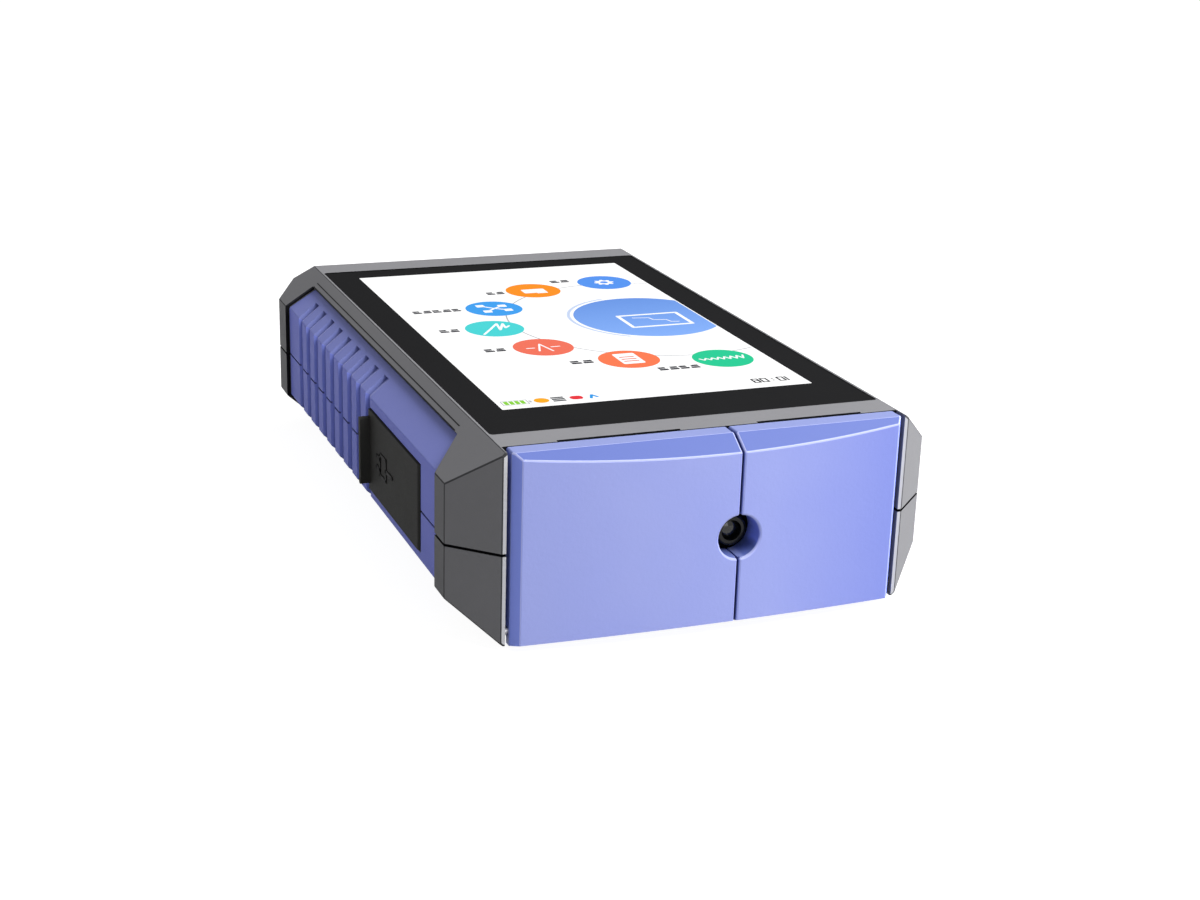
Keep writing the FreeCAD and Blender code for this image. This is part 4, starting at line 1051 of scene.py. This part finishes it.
@dataclass
class PortEnd(SubAssembly):
    """The two hinged covers and the ports, jack and torch behind them."""

    ports: ClassVar[tuple[str, ...]] = ("otdr_port", "power_meter_port", "fault_locator_port")
    coats: ClassVar[Coats] = {
        Coat.COVER: ("wide_port_cover", "narrow_port_cover"), Coat.STEEL: ("cover_hinge_pin",),
        Coat.PANEL: ("port_panel",), Coat.NICKEL: ports, Coat.JACK: ("network_jack",),
        Coat.BEZEL: ("torch_bezel",), Coat.LENS: ("torch_lens",), Coat.LAMP: ("torch_led",)}
    barrel_radius: float = 4.4
    thread_sink: float = 0.05
    thread_depth: float = 0.2
    thread_crest: float = 0.06
    thread_pitch: float = 0.75
    thread_foot_share: float = 0.36
    thread_turns: int = 6
    thread_start: float = 1.0
    key_half_angle: float = 17.0
    sleeve_radii: tuple[float, float] = (1.27, 1.72)
    sleeve_ends: tuple[float, float] = (1.12, 4.0)
    sleeve_bevel: float = 0.12
    sleeve_mouth: float = 0.1
    jack_contacts: int = 8
    contact_pitch: float = 1.02
    contact_half_width: float = 0.2
    contact_half_thickness: float = 0.1
    contact_front: float = 2.2
    contact_length: float = 9.5
    contact_floor: float = 2.72
    contact_rise: float = 2.3
    contact_turn: float = 1.15

    def add(self) -> None:
        """Adds threads, ceramic sleeves and jack contacts."""
        for name in self.ports:
            low, high = mm_box(name)
            centre = np.array([(low[0] + high[0]) / 2, low[1], (low[2] + high[2]) / 2])
            self.thread(name, centre)
            self.sleeve(name, centre)
        self.contacts()

    def thread(self, name: str, centre: Points) -> None:
        """Makes the barrel's thread: a helix whose ridge stops on each side of the key slot.

        The point at turn k and angle t is (R sin t, start + pitch (k + t / 2 pi), R cos t), with t
        counted from the slot at the top.
        """
        gap = math.radians(self.key_half_angle)
        t = np.linspace(gap, 2 * math.pi - gap, 60)
        foot = self.thread_pitch * self.thread_foot_share
        section = np.array([[-self.thread_sink, -foot], [-self.thread_sink, foot],
                            [self.thread_depth, self.thread_crest], [self.thread_depth, -self.thread_crest]])
        radius = self.barrel_radius + section[:, 0]
        ridges = []
        for k in range(self.thread_turns):
            y = self.thread_start + self.thread_pitch * (k + t / (2 * math.pi))
            rings = np.stack([np.sin(t)[:, None] * radius[None, :], y[:, None] + section[None, :, 1],
                              np.cos(t)[:, None] * radius[None, :]], -1)
            ridges.append(Surface(rings + centre))
        mesh_piece(name + "_thread", "casing", Coat.NICKEL.material(), ridges, 25)

    def sleeve(self, name: str, centre: Points) -> None:
        """Makes the white ceramic sleeve that lines a port's bore.

        The ring's two end discs lie across the bore's mouth, which a sleeve shouldn't have.
        """
        inner, outer = self.sleeve_radii
        front, back = self.sleeve_ends
        lip = front + self.sleeve_bevel
        profile = [(front, outer - self.sleeve_bevel), (front, inner + self.sleeve_mouth), (lip, inner),
                   (back, inner), (back, outer), (lip, outer)]
        ring = lathe(profile + [profile[0]], centre, 48)
        mesh_piece(name + "_sleeve", "casing", Coat.ZIRCONIA.material(), [ring], 30)

    def contacts(self) -> None:
        """Makes the jack's spring contacts: strips that rise towards the back in a quarter sine."""
        low, high = mm_box("network_jack")
        s = np.linspace(0.0, 1.0, 16)
        rise = self.contact_rise * np.sin(np.clip(s * self.contact_turn, 0, 1) * math.pi / 2)
        section = bar_section(self.contact_half_width, -self.contact_half_thickness,
                              self.contact_half_thickness)
        strips = []
        for k in range(self.jack_contacts):
            x = (low[0] + high[0]) / 2 + (k - (self.jack_contacts - 1) / 2) * self.contact_pitch
            path = np.stack([np.full_like(s, x), low[1] + self.contact_front + self.contact_length * s,
                             low[2] + self.contact_floor + rise], 1)
            strips.append(sweep(path, section))
        mesh_piece("jack_contacts", "casing", Coat.GOLD.material(), strips)


@dataclass
class FlapSide(SubAssembly):
    """The rubber flap on the left side, its raised plug sign and the sockets behind it."""

    coats: ClassVar[Coats] = {
        Coat.FLAP: ("data_flap",), Coat.STEEL: ("data_flap_pin", "wide_data_socket", "small_data_socket")}
    lip_reach: float = 2.1
    sign_rise: float = 0.18
    sign_sink: float = 0.05
    sign_middle: tuple[float, float] = (24.8, 8.2)
    plug_ends: tuple[float, float] = (-1.6, 2.8)
    plug_half: float = 2.2
    cord_end: float = -6.2
    prong_end: float = 5.4
    prong_offset: float = 1.1
    outline_width: float = 0.7
    bar_width: float = 0.8

    def add(self) -> None:
        """Raises a plain plug sign on the flap: an outline, a cord on one side and two prongs."""
        low, _ = mm_box("data_flap")
        ink = Print(Plane.LEFT, (low[0] + self.lip_reach, low[1], low[2]), self.sign_rise, self.sign_sink)
        u, v = self.sign_middle
        back, front = (u + end for end in self.plug_ends)
        under, over = v - self.plug_half, v + self.plug_half
        sign = ink.stroke([(back, under), (front, under), (front, over), (back, over)], self.outline_width,
                          closed=True)
        sign += ink.stroke([(back, v), (u + self.cord_end, v)], self.bar_width)
        for prong in (-self.prong_offset, self.prong_offset):
            sign += ink.stroke([(front, v + prong), (u + self.prong_end, v + prong)], self.bar_width)
        mesh_piece("flap_sign", "flap", Coat.FLAP_MARK.material(), sign)


@dataclass
class ButtonSide(SubAssembly):
    """The power button on the right side with its printed ring and bar, and the switch behind it."""

    coats: ClassVar[Coats] = {
        Coat.BUTTON: ("power_button",), Coat.PANEL: ("power_switch",), Coat.BOARD: ("switch_board",)}
    ring_radius: float = 1.35
    bar_ends: tuple[float, float] = (0.25, 1.65)
    line: float = 0.34
    print_rise: float = 0.03
    print_sink: float = 0.02

    def add(self) -> None:
        """Prints the on and off sign: a ring that is open at the top, and a bar in the gap."""
        low, high = mm_box("power_button")
        middle = ((low[1] + high[1]) / 2, (low[2] + high[2]) / 2)
        ink = Print(Plane.RIGHT, (high[0], *middle), self.print_rise, self.print_sink)
        ring = arc_line((0.0, 0.0), self.ring_radius, 122, 418, 36)
        sign = ink.stroke(ring, self.line) + ink.stroke([(0.0, end) for end in self.bar_ends], self.line)
        mesh_piece("button_sign", "button", Coat.BUTTON_MARK.material(), sign)


@dataclass
class Underside(SubAssembly):
    """The feet, the fold-out stand and the casing screws under the casing."""

    coats: ClassVar[Coats] = {
        Coat.FEET: ("rubber_feet",), Coat.CASING: ("stand",), Coat.STEEL: ("stand_pins",),
        Coat.BLACK_METAL: ("shell_screws",)}


@dataclass
class Innards(SubAssembly):
    """The main board, the optical engine with its reel of fibre, the shield can and the battery."""

    coats: ClassVar[Coats] = {
        Coat.BOARD: ("main_board",), Coat.ENGINE: ("optical_engine",), Coat.SPOOL: ("fibre_spool",),
        Coat.STEEL: ("shield_can", "board_screws"), Coat.BATTERY: ("battery_pack",)}
    wound_radii: tuple[float, float] = (15.4, 16.6)
    flange: float = 0.85
    ripple: float = 0.12
    layers: int = 9
    points_round: int = 96

    def add(self) -> None:
        """Winds the fibre: a drum about Z whose outer radius ripples once for each layer.

        Its two end discs run across the reel's middle hole too.
        """
        low, high = mm_box("fibre_spool")
        centre = (low + high) / 2
        inner, outer = self.wound_radii
        z = np.linspace(low[2] + self.flange, high[2] - self.flange, self.layers * 6)
        wave = np.abs(np.sin(np.linspace(0, self.layers * math.pi, z.size)))
        radius = np.concatenate([[inner], outer - self.ripple + self.ripple * wave, [inner]])
        height = np.concatenate([[z[0]], z, [z[-1]]])
        t = np.linspace(0, 2 * math.pi, self.points_round, endpoint=False)
        rings = np.stack([centre[0] + radius[:, None] * np.cos(t), centre[1] + radius[:, None] * np.sin(t),
                          height[:, None] + np.zeros_like(t)], -1)
        mesh_piece("fibre_winding", "casing", Coat.FIBRE.material(), [Surface(rings)], 60)


# ------------------------------------------------------------------ floor, light and camera
@dataclass(frozen=True)
class Lamp:
    """One square lamp that faces the tester: place and side in metres, power in watts.

    A lamp whose glare would wash out the display from the side isn't mirrored.
    """

    name: str
    place: tuple[float, float, float]
    side: float
    power: float
    mirrored: bool = True

    def hang(self, target: tuple[float, float, float]) -> None:
        """Hangs the lamp, turned towards target."""
        light = bpy.data.lights.new(self.name, "AREA")
        light.shape = "SQUARE"
        light.size = self.side
        light.energy = self.power
        lamp = bpy.data.objects.new(self.name, light)
        place = Vector(self.place)
        turn = (Vector(target) - place).to_track_quat("-Z", "Y").to_matrix().to_4x4()
        lamp.matrix_world = Matrix.Translation(place) @ turn
        lamp.visible_glossy = self.mirrored
        bpy.context.scene.collection.objects.link(lamp)


@dataclass
class Studio:
    """A pale floor, plain soft light and the camera."""

    eye_mm: tuple[float, float, float] = (-141.375, -375.833, 146.450)
    azimuth_deg: float = -21.706
    elevation_deg: float = 18.663
    roll_deg: float = 1.7565
    lens_mm: float = 57.705
    target: tuple[float, float, float] = (0.0, 0.0, 0.02)
    floor_half_m: float = 3.0
    ambient: float = 0.2
    floor_bounce: float = 0.28
    floor_seen: float = 0.3
    floor_lift: float = 0.94
    lamps: tuple[Lamp, ...] = (
        Lamp("key_lamp", (0.36, -0.38, 0.70), 0.5, 11.0),
        Lamp("right_lamp", (0.90, 0.06, 0.16), 0.4, 11.5, False),
        Lamp("front_lamp", (-0.05, -0.90, 0.22), 0.4, 1.4),
        Lamp("left_lamp", (-0.80, 0.25, 0.35), 0.5, 0.6),
        Lamp("back_lamp", (0.74, 0.66, 0.30), 0.3, 1.2, False),
    )

    def build(self) -> None:
        """Sets the floor, the world, the lamps and the camera."""
        self.floor()
        self.world()
        for lamp in self.lamps:
            lamp.hang(self.target)
        self.camera()
        bpy.context.scene.view_settings.view_transform = "Standard"

    def seen(self, bench: Bench) -> Socket:
        """Gives 1 for camera, glossy and transmission rays, and 0 for the rest."""
        rays = bench.lay("LightPath").outputs
        glossy = bench.maths("MAXIMUM", rays["Is Camera Ray"], rays["Is Glossy Ray"])
        return bench.maths("MAXIMUM", glossy, rays["Is Transmission Ray"])

    def world(self) -> None:
        """Makes a world that is white where it is seen and dimmer where it lights."""
        world = bpy.data.worlds.new("studio_world")
        bench = Bench(world, "OutputWorld")
        strength = bench.between(self.seen(bench), 0.0, 1.0, self.ambient, 1.0)
        bench.join(bench.lay("Background", {0: (1.0, 1.0, 1.0, 1.0), 1: strength}))
        bpy.context.scene.world = world

    def floor(self) -> None:
        """Makes the pale floor, which keeps the tester's shadow and whitens where it is seen."""
        half = self.floor_half_m
        mesh = bpy.data.meshes.new("floor")
        mesh.from_pydata([(-half, -half, 0), (half, -half, 0), (half, half, 0), (-half, half, 0)], [],
                         [(0, 1, 2, 3)])
        floor = bpy.data.objects.new("floor", mesh)
        bpy.context.scene.collection.objects.link(floor)
        paint = bpy.data.materials.new("floor_paint")
        bench = Bench(paint)
        seen = self.seen(bench)
        grey = bench.between(seen, 0.0, 1.0, self.floor_bounce, self.floor_seen)
        matt = bench.lay("BsdfDiffuse", {0: grey})
        glow = bench.lay("Emission", {1: bench.between(seen, 0.0, 1.0, 0.0, self.floor_lift)})
        bench.join(bench.lay("AddShader", {0: matt.outputs[0], 1: glow.outputs[0]}))
        mesh.materials.append(paint)

    def camera(self) -> None:
        """Sets the camera: back and right from azimuth and elevation, then rolled."""
        a, e, r = (math.radians(d) for d in (self.azimuth_deg, self.elevation_deg, self.roll_deg))
        back = Vector((math.sin(a) * math.cos(e), -math.cos(a) * math.cos(e), math.sin(e)))
        right = Vector((math.cos(a), math.sin(a), 0.0))
        up = back.cross(right)
        rolled_right = math.cos(r) * right + math.sin(r) * up
        rolled_up = -math.sin(r) * right + math.cos(r) * up
        data = bpy.data.cameras.new("camera")
        data.sensor_width = 36.0
        data.lens = self.lens_mm
        camera = bpy.data.objects.new("camera", data)
        turn = Matrix((rolled_right, rolled_up, back)).transposed().to_4x4()
        camera.matrix_world = Matrix.Translation(Vector(self.eye_mm) * MM) @ turn
        bpy.context.scene.collection.objects.link(camera)
        bpy.context.scene.camera = camera


def main() -> None:
    logging.basicConfig(level=logging.INFO, format="%(name)s: %(message)s")
    for part in (Casing(), Screen(), PortEnd(), FlapSide(), ButtonSide(), Underside(), Innards()):
        part.build()
    Studio().build()
    bpy.context.view_layer.update()


if __name__ == "__main__":
    main()
